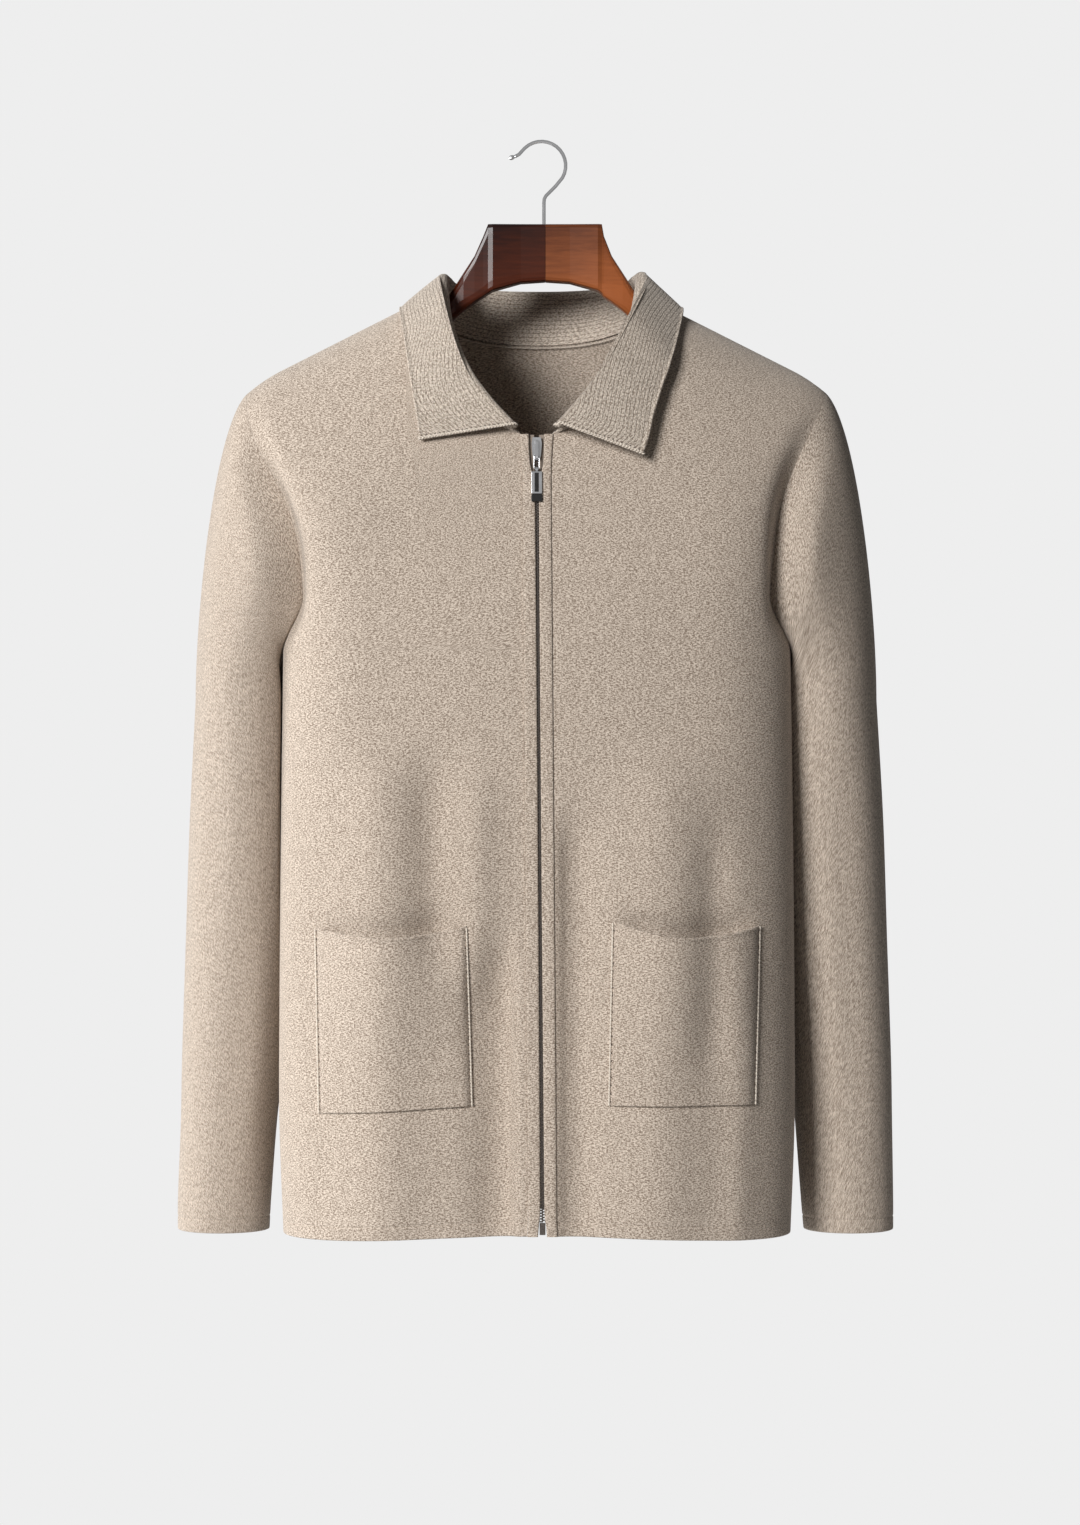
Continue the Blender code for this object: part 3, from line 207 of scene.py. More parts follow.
# z, half width at the left and the right armhole
ARMHOLE = ((-0.375, 0.1855, 0.1855), (-0.335, 0.1825, 0.1828), (-0.300, 0.1832, 0.1822),
           (-0.270, 0.1893, 0.1845), (-0.245, 0.1975, 0.1895), (-0.220, 0.2075, 0.1975),
           (-0.200, 0.2118, 0.2055), (-0.180, 0.2125, 0.2125))
# z, inner and outer edge of the zip's bands from the zip's line
BANDS = ((-0.7925, 0.0032, 0.0108), (-0.7820, 0.0022, 0.0102), (-0.7760, 0.0015, 0.0102),
         (-0.2640, 0.0014, 0.0102), (-0.2500, 0.0029, 0.0103), (-0.2400, 0.0048, 0.0106),
         (-0.2205, 0.0056, 0.0120))
# face, top x and z, bottom x and z, half width, height out of the cloth
FOLDS = ((-1, -0.112, -0.430, -0.106, -0.830, 0.027, 0.0090),
         (-1, -0.074, -0.425, -0.071, -0.625, 0.017, -0.0070),
         (-1, -0.043, -0.440, -0.046, -0.650, 0.015, 0.0058),
         (-1, -0.026, -0.560, -0.025, -0.830, 0.021, -0.0115),
         (-1, -0.158, -0.500, -0.150, -0.800, 0.012, -0.0018),
         (-1, 0.029, -0.470, 0.031, -0.830, 0.015, -0.0075),
         (-1, 0.092, -0.430, 0.086, -0.830, 0.031, 0.0090),
         (-1, 0.127, -0.480, 0.123, -0.700, 0.013, -0.0045),
         (-1, 0.150, -0.560, 0.143, -0.830, 0.012, 0.0028),
         (-1, -0.146, -0.225, -0.146, -0.860, 0.036, 0.0042),
         (-1, 0.146, -0.225, 0.146, -0.860, 0.036, 0.0028),
         (1, -0.105, -0.400, -0.112, -0.830, 0.028, 0.0065),
         (1, -0.050, -0.460, -0.046, -0.830, 0.024, -0.0060),
         (1, 0.020, -0.380, 0.014, -0.830, 0.026, 0.0050),
         (1, 0.082, -0.430, 0.090, -0.830, 0.026, -0.0065),
         (1, 0.138, -0.500, 0.140, -0.830, 0.018, 0.0042))
FOLD_FADE = 0.060                         # length over which a fold starts and ends
FOLD_CLEAR, FOLD_CLEAR_FADE = 0.0115, 0.010      # none runs under the zip's bands


def smooth(share):
    share = np.clip(share, 0.0, 1.0)
    return share * share * (3.0 - 2.0 * share)


def mix(first, second, share):
    return first + (second - first) * share


def curve(rows, place, column):
    """A table's column on a smooth curve through its rows."""
    table = np.array(rows, float)
    places, values = table[:, 0], table[:, column]
    low = np.maximum(np.arange(len(places)) - 1, 0)
    high = np.minimum(np.arange(len(places)) + 1, len(places) - 1)
    slopes = (values[high] - values[low]) / (places[high] - places[low])
    place = np.clip(place, places[0], places[-1])
    index = np.clip(np.searchsorted(places, place, side="right") - 1, 0, len(places) - 2)
    step = places[index + 1] - places[index]
    t = (place - places[index]) / step
    return ((2 * t ** 3 - 3 * t ** 2 + 1) * values[index]
            + (t ** 3 - 2 * t ** 2 + t) * step * slopes[index]
            + (3 * t ** 2 - 2 * t ** 3) * values[index + 1]
            + (t ** 3 - t ** 2) * step * slopes[index + 1])


def ridge_z(x):
    """Height of the shoulders' line, which rounds off at the neck and droops at the tip."""
    reach = np.abs(x)
    reach = np.where(reach < RIDGE_SOFT, x * x / (2 * RIDGE_SOFT) + RIDGE_SOFT / 2, reach)
    droop = TIP_DROOP * np.maximum((np.abs(x) - TIP_X + TIP_SOFT) / TIP_SOFT, 0.0) ** 2
    return TIP_Z + SHOULDER_SLOPE * (TIP_X - reach) - droop


def armhole_share(z):
    return np.clip((z - UNDERARM_Z) / (TIP_Z - UNDERARM_Z), 0.0, 1.0)


def edge_x(side, z):
    """Half width at the side seam, and at the armhole above the underarm."""
    return np.where(z <= UNDERARM_Z, curve(BODY, z, 1),
                    np.where(np.asarray(side) > 0, curve(ARMHOLE, z, 2), curve(ARMHOLE, z, 1)))


def side_y(z):
    return -0.010 * (1.0 - smooth(armhole_share(z)))


def section_reach(side, z):
    rise = 1.0 - (1.0 - armhole_share(z)) ** 1.7
    share = np.where(z <= UNDERARM_Z, 0.0, 0.78 * np.maximum(rise, 0.0) ** (1 / 1.7))
    return edge_x(side, z) / (1.0 - share ** ROUNDNESS) ** (1 / ROUNDNESS)


def fold_height(face, x, z):
    """How far the folds lift the cloth; each is a soft ridge or trough down its own line."""
    total = 0.0
    for fold_face, top_x, top_z, bottom_x, bottom_z, half_width, height in FOLDS:
        down = np.clip((top_z - z) / (top_z - bottom_z), 0.0, 1.0)
        fade = smooth((top_z - z) / FOLD_FADE) * smooth((z - bottom_z) / FOLD_FADE)
        across = (x - mix(top_x, bottom_x, down)) / half_width
        total = total + (face == fold_face) * height * fade * np.exp(-across ** 2)
    beside_zip = smooth((np.abs(x) - FOLD_CLEAR) / FOLD_CLEAR_FADE)
    return total * np.where(face > 0, 1.0, beside_zip)


def cloth_y(face, x, z):
    """The panels' outer surface; face is -1 for the front and 1 for the back."""
    side = np.where(x > 0, 1, -1)
    across = np.maximum(1.0 - (np.abs(x) / section_reach(side, z)) ** ROUNDNESS, 0.0)
    drop = np.clip((ridge_z(x) - z) / DOME, 0.0, 1.0)
    depth = np.where(face < 0, curve(BODY, z, 2), curve(BODY, z, 3))
    bulge = depth * np.sqrt(1.0 - (1.0 - drop) ** 2) * across ** (1 / ROUNDNESS)
    return side_y(z) + face * (bulge + fold_height(face, x, z))


def zip_x(z):
    """The zip hangs a little out of line."""
    down = np.clip((NECK_FRONT_Z - z) / (NECK_FRONT_Z - HEM_Z), 0, 1)
    return mix(ZIP_TOP_X, ZIP_BOTTOM_X, down)


def neck_z(face, x):
    back = mix(NECK_BACK_Z, ridge_z(NECK_X), (np.abs(x) / NECK_X) ** 2.5)
    share = np.clip((np.abs(x) - NECK_FLAT) / (NECK_X - NECK_FLAT), 0.0, 1.0)
    bowl = (1.0 - share ** 1.4) ** (1 / 1.4)
    front = ridge_z(NECK_X) - (ridge_z(NECK_X) - NECK_FRONT_Z) * bowl
    return np.where(face > 0, back, front)


def column_x(face, side, share, z):
    """Where a column of a panel stands, at its share of the way from the middle to the side."""
    inner = 0.0
    if face < 0:
        inner = zip_x(z) + side * (curve(BANDS, z, 2) + SEAM)
    return mix(inner, side * edge_x(side, z), share)


def hem_drop(x):
    """The hem hangs a little lower towards the sides."""
    return -HEM_DROP * smooth(np.abs(x) / BODY[0][1])


def linked_line(height):
    """The thin groove of the linking above a hem or a cuff."""
    return LINE_DEPTH * np.exp(-((height - HEM_LINE) / LINE_WIDTH) ** 2)


def seam_valley(distance, z):
    """Depth of the soft valley along the armhole's seam."""
    down = smooth((TIP_Z - 0.002 - z) / VALLEY_GROWS) * smooth((z - UNDERARM_Z) / VALLEY_ENDS)
    return VALLEY_DEPTH * down * np.exp(-(distance / VALLEY_WIDTH) ** 2)


# side, inner x at the top and foot, outer x at the top and foot, mouth z inner and outer,
# sag, foot z inner and outer, how far the mouth hangs open
POCKETS = ((-1, 0.0500, 0.0462, 0.1590, 0.1562, -0.5710, -0.5735, 0.0075,
            -0.6995, -0.7065, 0.0108),
           (1, 0.0540, 0.0512, 0.1600, 0.1565, -0.5680, -0.5720, 0.0095,
            -0.6990, -0.7000, 0.0108))


def pocket_hollow(x, z):
    """The front's cloth sinks back a little behind each pocket's mouth."""
    total = 0.0
    for side, inner, _, outer, _, mouth_in, mouth_out, sag, _, _, _ in POCKETS:
        share = (side * x - inner) / (outer - inner)
        within = smooth(share / 0.22) * smooth((1 - share) / 0.22)
        mouth = mix(mouth_in, mouth_out, share) - sag * np.sin(math.pi * np.clip(share, 0, 1))
        above = np.exp(-(np.maximum(z - mouth, 0.0) / 0.0110) ** 2)
        total = total + HOLLOW_DEPTH * within * above * smooth((z - mouth + 0.050) / 0.030)
    return total


def panel_grid(face, side):
    """Points of half a panel, from the middle to the side and from the hem up."""
    middle_x = FRONT_EDGE_X if face < 0 else 0.0
    neck_share = (NECK_X - middle_x) / (TIP_X - middle_x)
    # Beyond the neck the columns lie evenly round the curve of the body's section.
    walk = np.linspace(neck_share, 1.0, 900)
    _, half_width, half_depth, _ = BODY[4]
    deep = half_depth * (1.0 - walk ** ROUNDNESS) ** (1 / ROUNDNESS)
    path = np.concatenate(([0], np.cumsum(np.hypot(np.diff(walk) * half_width, np.diff(deep)))))
    outer = np.interp(np.linspace(0, path[-1], SIDE_COLUMNS + 1), path, walk)
    share = np.concatenate((np.linspace(0, neck_share, NECK_COLUMNS + 1)[:-1], outer))
    # Each column ends where it meets the neck's edge or the shoulder's line.
    top = np.full(len(share), -0.15)
    for _ in range(30):
        x = column_x(face, side, share, top)
        top = np.where(np.abs(x) >= NECK_X - 1e-6, ridge_z(x),
                       neck_z(face, np.clip(x, -NECK_X, NECK_X)))
    lower = np.concatenate((HEM_Z + HEM_ROWS,
                            np.linspace(HEM_Z + 0.0150, UNDERARM_Z, LOWER_ROWS)[:-1]))
    upper = (1 - np.cos(math.pi * np.arange(UPPER_ROWS + 1) / UPPER_ROWS)) / 2
    z = np.concatenate((np.broadcast_to(lower, (len(share), len(lower))),
                        UNDERARM_Z + (top[:, None] - UNDERARM_Z) * upper), axis=1)
    x = column_x(face, side, share[:, None], z)
    y = cloth_y(face, x, z) + face * SEAM / 2
    y = y - face * linked_line(z - HEM_Z)
    if face < 0:
        y = y + pocket_hollow(x, z)
    z = z + hem_drop(x) * smooth((HEM_Z + 0.20 - z) / 0.20)
    grid = np.stack((x, y, z), axis=2)
    distance = np.abs(edge_x(side, z)) - np.abs(x)
    return grid + face * side * grid_normals(grid) * seam_valley(distance, z)[:, :, None]


def unit(vectors):
    return vectors / np.maximum(np.linalg.norm(vectors, axis=-1, keepdims=True), 1e-12)


def grid_normals(grid, closed=False):
    along = np.roll(grid, -1, 0) - np.roll(grid, 1, 0) if closed else np.gradient(grid, axis=0)
    return unit(np.cross(along, np.gradient(grid, axis=1)))


def new_piece(name, points, faces, finish, spots=None, smooth_faces=True):
    """An object with its place in its mesh; spots are its cloth's UV map, in metres."""
    mesh = bpy.data.meshes.new(name)
    mesh.from_pydata(points.tolist(), [], faces)
    if spots is not None:
        layer = mesh.uv_layers.new(name="cloth")
        layer.data.foreach_set("uv", spots.astype(np.float32).ravel())
    if smooth_faces:
        mesh.shade_smooth()
    if spots is not None:
        mesh.set_sharp_from_angle(angle=math.radians(60))
    mesh.materials.append(finish)
    piece = bpy.data.objects.new(name, mesh)
    bpy.context.scene.collection.objects.link(piece)
    return piece


def across_at(across, column, row):
    return across[np.minimum(column, len(across) - 1), row]


def cloth_wall(name, grid, thickness, soft, finish, closed=False, bow=None):
    """A wall of cloth behind a grid of points, with the named borders rounded.

    Columns times rows of the grid turn outwards.  The UV map holds metres along the cloth.
    """
    normal = grid_normals(grid, closed)
    across = np.linalg.norm(np.diff(np.concatenate((grid, grid[:1])) if closed else grid, axis=0),
                            axis=2)
    across = np.concatenate((np.zeros((1, grid.shape[1])), np.cumsum(across, axis=0)))
    along = np.linalg.norm(np.diff(grid, axis=1), axis=2)
    along = np.concatenate((np.zeros((grid.shape[0], 1)), np.cumsum(along, axis=1)), axis=1)
    near = np.full(grid.shape[:2], 1.0)
    reach = thickness * 0.5
    for border, distance in (("bottom", along), ("top", along[:, -1:] - along),
                             ("first", across[:len(grid)]),
                             ("last", across[-1:] - across[:len(grid)])):
        if border in soft:
            near = np.minimum(near, np.clip(distance / reach, 0.0, 1.0))
    half = reach * (0.15 + 0.85 * np.sqrt(1.0 - (1.0 - near) ** 2))[:, :, None]
    middle = grid - normal * reach
    if bow is not None:
        middle = middle + normal * bow[:, :, None]
    sheets = np.concatenate(((middle + normal * half).reshape(-1, 3),
                             (middle - normal * half).reshape(-1, 3)))
    sheets[:, 0] += GARMENT_X
    columns, rows = grid.shape[:2]
    spans = columns if closed else columns - 1
    column, row = np.meshgrid(np.arange(spans), np.arange(rows - 1), indexing="ij")
    column, row = column.ravel(), row.ravel()
    corners = ((0, 0), (1, 0), (1, 1), (0, 1))
    place = np.stack([((column + c) % columns) * rows + row + r for c, r in corners], axis=1)
    spot_u = np.stack([across_at(across, column + c, row + r) for c, r in corners], axis=1)
    spot_v = np.stack([along[(column + c) % columns, row + r] for c, r in corners], axis=1)
    count = columns * rows
    faces = [place, place[:, ::-1] + count]
    spots_u, spots_v = [spot_u, spot_u[:, ::-1]], [spot_v, spot_v[:, ::-1]]
    rims = [(np.arange(spans), 0, 1), (np.arange(spans), rows - 1, 0)]
    for line, r, turn in rims:
        near_c, far_c = line % columns, (line + 1) % columns
        rim = np.stack((near_c * rows + r, near_c * rows + r + count, far_c * rows + r + count,
                        far_c * rows + r), axis=1)
        u = np.stack([across_at(across, line + k, r) for k in (0, 0, 1, 1)], axis=1)
        v = np.full(rim.shape, along[0, r])
        faces.append(rim if turn else rim[:, ::-1])
        spots_u.append(u if turn else u[:, ::-1])
        spots_v.append(v)
    if not closed:
        line = np.arange(rows - 1)
        for c, turn in ((0, 0), (columns - 1, 1)):
            rim = np.stack((c * rows + line, c * rows + line + count, c * rows + line + 1 + count,
                            c * rows + line + 1), axis=1)
            v = np.stack([along[c, line + k] for k in (0, 0, 1, 1)], axis=1)
            faces.append(rim if turn else rim[:, ::-1])
            spots_u.append(np.full(rim.shape, across[c, 0]))
            spots_v.append(v if turn else v[:, ::-1])
    spots = np.stack((np.concatenate(spots_u).ravel(), np.concatenate(spots_v).ravel()), axis=1)
    return new_piece(name, sheets, np.concatenate(faces).tolist(), finish, spots)


def knit_finish(name, dark, light, wale, course, relief_and_painted_shade, sideways=False):
    """Wool yarn: V-shaped stitches in columns with painted shade in the grooves between them,
    flecks of two shades, and a felted nap.
    """
    material, shader, start = new_finish(name, 0.92, Specular_IOR_Level=0.25, Sheen_Weight=0.35,
                                         Sheen_Roughness=0.5, Sheen_Tint=(1.0, 0.95, 0.88, 1.0))
    spot = start.node("ShaderNodeUVMap", uv_map="cloth")
    parts = start.node("ShaderNodeSeparateXYZ", {"Vector": spot})
    across, along = (parts.other("Y"), parts) if sideways else (parts, parts.other("Y"))
    leg = start.sum("ABSOLUTE", start.sum("FRACT", across / wale) - 0.5) * 2.0
    twist = start.sum("SINE", (along / course - leg * 0.6) * math.tau)
    stitch = (1.0 - (leg * 2.0 - 1.0) ** 2.0) * (0.35 + twist * 0.15) + (1.0 - leg) * 0.5
    fleck = noise(start, spot, 800.0, 4.0, Roughness=0.72)
    nap = noise(start, spot, 1900.0, 2.0)
    cloud = noise(start, spot, 110.0, 4.0, Roughness=0.6)
    # The stitches' relief is also painted into the colour, darker in the grooves between the
    # wales: painted shade.
    shade = (fleck - 0.5) * 6.4 + (nap - 0.5) * 3.2 + (stitch - 0.5) * relief_and_painted_shade * 1.3 \
        + (cloud - 0.5) * 0.8 + 0.5
    for turned in (0.55, -0.75, 1.45):
        along_hair = start.node("ShaderNodeMapping", {"Vector": spot, "Rotation": (0, 0, turned),
                                                      "Scale": (420.0, 1900.0, 1.0)})
        shade = shade + (noise(start, along_hair, 1.0, 1.0) - 0.5) * 2.4
    two_tone(start, shade, dark, light, shader)
    relief_of(start, stitch * relief_and_painted_shade + fleck * 1.1 + nap * 0.6, 0.6, 0.0007, shader)
    return material


body_knit = knit_finish("body_knit", (0.235, 0.178, 0.134), (0.695, 0.592, 0.494),
                        0.0021, 0.0016, 0.12)


def cloth_piece(piece, node, rests_on):
    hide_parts(node)
    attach(piece, "garment")


# A grain of yarn of length and width 1: two tips and three rings of six points between them.
GRAIN = [(-0.5, 0.0, 0.0), (0.5, 0.0, 0.0)]
for place, size in ((-0.3, 0.8), (0.0, 1.0), (0.3, 0.8)):
    GRAIN += [(place, math.cos(math.tau * k / 6) * size, math.sin(math.tau * k / 6) * size)
              for k in range(6)]
GRAIN = np.array(GRAIN)
GRAIN_FACES = []
for k in range(6):
    n = (k + 1) % 6
    GRAIN_FACES += [(0, 2 + n, 2 + k), (1, 14 + k, 14 + n), (2 + k, 2 + n, 8 + n, 8 + k),
                    (8 + k, 8 + n, 14 + n, 14 + k)]


def stitch_row(name, points, normals, pitch, length, width, slant, finish):
    """Grains of yarn laid along a path on the cloth, each a six-sided spindle."""
    steps = np.linalg.norm(np.diff(points, axis=0), axis=1)
    walked = np.concatenate(([0], np.cumsum(steps)))
    stops = np.arange(pitch / 2, walked[-1], pitch)

    def along_path(table, shift=0.0):
        return np.stack([np.interp(stops + shift, walked, table[:, k]) for k in range(3)], axis=1)

    up = unit(along_path(normals))
    ahead = unit(along_path(points, 0.001) - along_path(points, -0.001))
    aside = np.cross(up, ahead)
    ahead, aside = (ahead * math.cos(slant) + aside * math.sin(slant),
                    aside * math.cos(slant) - ahead * math.sin(slant))
    grains = (along_path(points)[:, None] + ahead[:, None] * GRAIN[None, :, :1] * length
              + aside[:, None] * GRAIN[None, :, 1:2] * width / 2
              + up[:, None] * (GRAIN[None, :, 2:] * width / 2 + width * 0.1))
    grains = grains + np.array((GARMENT_X, 0, 0))
    faces = [[v + len(GRAIN) * index for v in face]
             for index in range(len(stops)) for face in GRAIN_FACES]
    row = new_piece(name, grains.reshape(-1, 3), faces, finish)
    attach(row, "garment")


def yarn_finish(name, dark, light):
    """A single end of wool yarn, twisted; the near-black one is painted shade."""
    material, shader, start = new_finish(name, 0.9, Specular_IOR_Level=0.25, Sheen_Weight=0.3)
    spot = start.node("ShaderNodeTexCoord", out="Object")
    fleck = noise(start, spot, 1100.0, 2.0)
    two_tone(start, (fleck - 0.5) * 2.0 + 0.5, dark, light, shader)
    return material


pale_yarn = yarn_finish("pale_yarn", (0.50, 0.42, 0.34), (0.86, 0.78, 0.68))
# Near-black grains of this yarn are painted shade in the gaps between the pale stitches.
painted_shade_yarn = yarn_finish("painted_shade_yarn", (0.05, 0.036, 0.026), (0.16, 0.12, 0.09))

neck_edges = {}
for side, name in ((-1, "front_left"), (1, "front_right")):
    grid = panel_grid(-1, side)[::side]
    inside = (grid - WALL * grid_normals(grid))[::side]
    neck_edges[name] = inside[:NECK_COLUMNS + 1:COLLAR_STEP, -1]
    panel = cloth_wall(name + "_panel", grid, WALL, ("bottom",), body_knit)
    cloth_piece(panel, name, ["hanger_left", "hanger_right"])

halves = [panel_grid(1, side) for side in (-1, 1)]
back_grid = np.concatenate((halves[1][::-1], halves[0][1:]))
back_normals = grid_normals(back_grid)
panel = cloth_wall("back_panel", back_grid, WALL, ("bottom",), body_knit)
cloth_piece(panel, "back", ["hanger_left", "hanger_right"])

# The neck's seam shows inside the back as a thin pale line.
neck = slice(SIDE_COLUMNS, -SIDE_COLUMNS, 2)
neck_line = back_grid[neck, -1] - (WALL + 0.0009) * back_normals[neck, -1]
stitch_row("neck_seam", neck_line + (0.0, -0.0012, -0.0008), -back_normals[neck, -1],
           0.0021, 0.0024, 0.0009, 0.15, pale_yarn)

# ---------------------------------------------------------------- sleeves
# Tubes of the same knit, wide at the top and narrow at the plain linked cuff.  The cap is set
# into the armhole, where it turns out over the seam and then falls straight down.
SLEEVE = ((-0.801, 0.2665, 0.2643, 0.1986, 0.1978, 0.030, 0.035),
          (-0.780, 0.2665, 0.2643, 0.1975, 0.1960, 0.030, 0.036),
          (-0.720, 0.2643, 0.2635, 0.1930, 0.1915, 0.031, 0.040),
          (-0.676, 0.2635, 0.2628, 0.1880, 0.1880, 0.031, 0.043),
          (-0.587, 0.2606, 0.2598, 0.1810, 0.1810, 0.031, 0.050),
          (-0.498, 0.2576, 0.2569, 0.1760, 0.1760, 0.031, 0.056),
          (-0.409, 0.2531, 0.2517, 0.1730, 0.1730, 0.030, 0.062))
# share of the way from shoulder tip to underarm, then the way the cap leaves the armhole
LEAVE = ((0.00, 0.78, 0.00, 0.62, 0.13, 0.30), (0.25, 0.80, 0.10, 0.58, 0.15, 0.32),
         (0.50, 0.76, 0.42, 0.50, 0.20, 0.34), (0.75, 0.66, 0.40, 0.62, 0.22, 0.34),
         (1.00, 0.34, 0.00, 0.94, 0.30, 0.30))
SLEEVE_TOP_Z, CUFF_Z = SLEEVE[-1][0], SLEEVE[0][0]
SLEEVE_CLEAR = 0.0016                     # room between the sleeve and the body below the underarm
SLEEVE_COLUMNS, CAP_ROWS, TUBE_ROWS = 96, 45, 76
# side, way round from the outer side in turns, top z, bottom z, half width in turns, height
CREASES = ((1, 0.36, -0.26, -0.66, 0.050, 0.0030), (1, 0.22, -0.42, -0.76, 0.045, -0.0016),
           (1, 0.62, -0.45, -0.74, 0.040, -0.0020), (1, 0.86, -0.50, -0.78, 0.050, 0.0018),
           (-1, 0.18, -0.40, -0.62, 0.040, -0.0012), (-1, 0.33, -0.55, -0.78, 0.045, 0.0016),
           (-1, 0.60, -0.42, -0.72, 0.045, -0.0020), (-1, 0.84, -0.36, -0.66, 0.050, 0.0018))


def body_side_x(side, y, z):
    """How far the body reaches out at the side."""
    depth = np.where(y < side_y(z), curve(BODY, z, 2), curve(BODY, z, 3))
    share = np.minimum(np.abs(y - side_y(z)) / depth, 1.0)
    return edge_x(side, z) * (1.0 - share ** ROUNDNESS) ** (1 / ROUNDNESS)


def sleeve_ring(side, angle, z):
    """The tube's section at a height, pressed flat where it lies against the body."""
    out, into = curve(SLEEVE, z, 2 if side > 0 else 1), curve(SLEEVE, z, 4 if side > 0 else 3)
    x = (out + into) / 2 + (out - into) / 2 * np.cos(angle)
    y = curve(SLEEVE, z, 5) - curve(SLEEVE, z, 6) * np.sin(angle)
    x = np.maximum(x, body_side_x(side, y, z) + SLEEVE_CLEAR)
    return np.stack((side * x, y, z + 0 * x), axis=-1)


for side, name in ((-1, "sleeve_left"), (1, "sleeve_right")):
    angle = math.tau * np.arange(SLEEVE_COLUMNS) / SLEEVE_COLUMNS
    face = np.where(angle <= math.pi, -1, 1)
    tip = TIP_Z          # comes down to where the armhole meets the drooping shoulder line
    for _ in range(30):
        tip = float(ridge_z(edge_x(side, tip)))
    # The cap's first edge lies in the armhole, its last on top of the tube.
    z = mix(UNDERARM_Z, tip, (1 + np.cos(angle)) / 2)
    turn = np.where(face < 0, angle, math.tau - angle) / math.pi
    x = side * edge_x(side, z)
    start_edge = np.stack((x + side * SEAM, cloth_y(face, x, z), z), axis=1)
    finish_edge = sleeve_ring(side, angle, SLEEVE_TOP_Z)
    span = np.linalg.norm(finish_edge - start_edge, axis=1)[:, None]
    # It leaves the armhole in line with the body's cloth at the shoulder, and turns out below.
    leave = [curve(LEAVE, turn, column) for column in range(1, 6)]
    away = np.stack((side * leave[0], face * leave[1], -leave[2]), axis=1)
    low, step = np.minimum(z, tip - 0.0012), 0.0004
    lean = (cloth_y(face, x, low) - cloth_y(face, x - side * step, low)) / (side * step)
    rise = (cloth_y(face, x, low) - cloth_y(face, x, low - step)) / step
    level = unit(np.stack((-lean, 1 + 0 * lean, -rise), axis=1) * face[:, None])
    level[0] = (side * 0.62, 0.0, 0.78)
    flow = unit(away - level * np.sum(level * away, axis=1, keepdims=True))
    away = mix(flow, away, smooth((turn - 0.15) / 0.40)[:, None])
    # Between the edges it follows a curve, sinks into the seam's valley and clears the body.
    first = start_edge + away * span * leave[3][:, None]
    second = finish_edge + np.array((0, 0, 1)) * span * leave[4][:, None]
    share = np.linspace(0, 1, CAP_ROWS + 1)[None, :-1, None]
    cap = (start_edge[:, None] * (1 - share) ** 3 + first[:, None] * 3 * share * (1 - share) ** 2
           + second[:, None] * 3 * share ** 2 * (1 - share) + finish_edge[:, None] * share ** 3)
    distance = np.linalg.norm(cap - start_edge[:, None], axis=2)
    valley = seam_valley(distance * 0.62, z[:, None])
    cap = cap - level[:, None] * valley[:, :, None]
    clear = mix(SEAM, SLEEVE_CLEAR, smooth(share[:, :, 0] * 2))
    reach = body_side_x(side, cap[:, :, 1], cap[:, :, 2]) + clear
    cap[:, :, 0] = np.where(cap[:, :, 2] < UNDERARM_Z,
                            side * np.maximum(side * cap[:, :, 0], reach), cap[:, :, 0])
    heights = np.concatenate((np.linspace(SLEEVE_TOP_Z, CUFF_Z + 0.016, TUBE_ROWS),
                              CUFF_Z + HEM_ROWS[::-1]))
    tube = sleeve_ring(side, angle[:, None], heights[None, :])
    grid = np.concatenate((cap, tube), axis=1)
    bow = -linked_line(grid[:, :, 2] - CUFF_Z)
    for crease_side, place, top_z, bottom_z, half_width, height in CREASES:
        away = angle[:, None] / math.tau - place
        away = (away - np.round(away)) / half_width
        fade = smooth((top_z - grid[:, :, 2]) / 0.08) * smooth((grid[:, :, 2] - bottom_z) / 0.08)
        bow = bow + (side == crease_side) * height * fade * np.exp(-away ** 2)
    grid, bow = grid[::side], bow[::side]
    sleeve = cloth_wall(name + "_tube", grid, WALL, ("top",), body_knit, closed=True, bow=bow)
    front = "front_right_panel" if side > 0 else "front_left_panel"
    cloth_piece(sleeve, name, [front, "back_panel"])

# ---------------------------------------------------------------- collar
# A straight strip of firmer knit, linked to the neck by one long edge, stood up and turned down
# over itself.  Its wales run along it.  The free edge rolls into a thin cord, and the short ends
# are chained off with a paler yarn.
COLLAR_WALL = 0.0026
FOOT_RISE = 0.0017                        # the foot stands this far up and out of the neck's edge
# seam share, roll x, y, z, edge x, z, lift off the cloth, radius of the roll
COLLAR_LEFT = ((0.00, 0.0134, -0.0905, -0.2150, 0.0840, -0.2272, 0.0036, 0.0040),
               (0.41, 0.0350, -0.0850, -0.1910, 0.0868, -0.2110, 0.0038, 0.0042),
               (0.66, 0.0504, -0.0700, -0.1665, 0.0915, -0.1850, 0.0040, 0.0046),
               (0.85, 0.0612, -0.0430, -0.1345, 0.0968, -0.1536, 0.0046, 0.0056),
               (1.00, 0.0650, -0.0060, -0.1020, 0.1008, -0.1300, 0.0050, 0.0060),
               (1.40, 0.0560, 0.0460, -0.1000, 0.0860, -0.1400, 0.0070, 0.0050),
               (1.75, 0.0300, 0.0670, -0.1008, 0.0430, -0.1600, 0.0060, 0.0050),
               (1.90, 0.0122, 0.0705, -0.1010, 0.0172, -0.1638, 0.0058, 0.0050),
               (2.00, 0.0000, 0.0710, -0.1010, 0.0000, -0.1642, 0.0058, 0.0050))
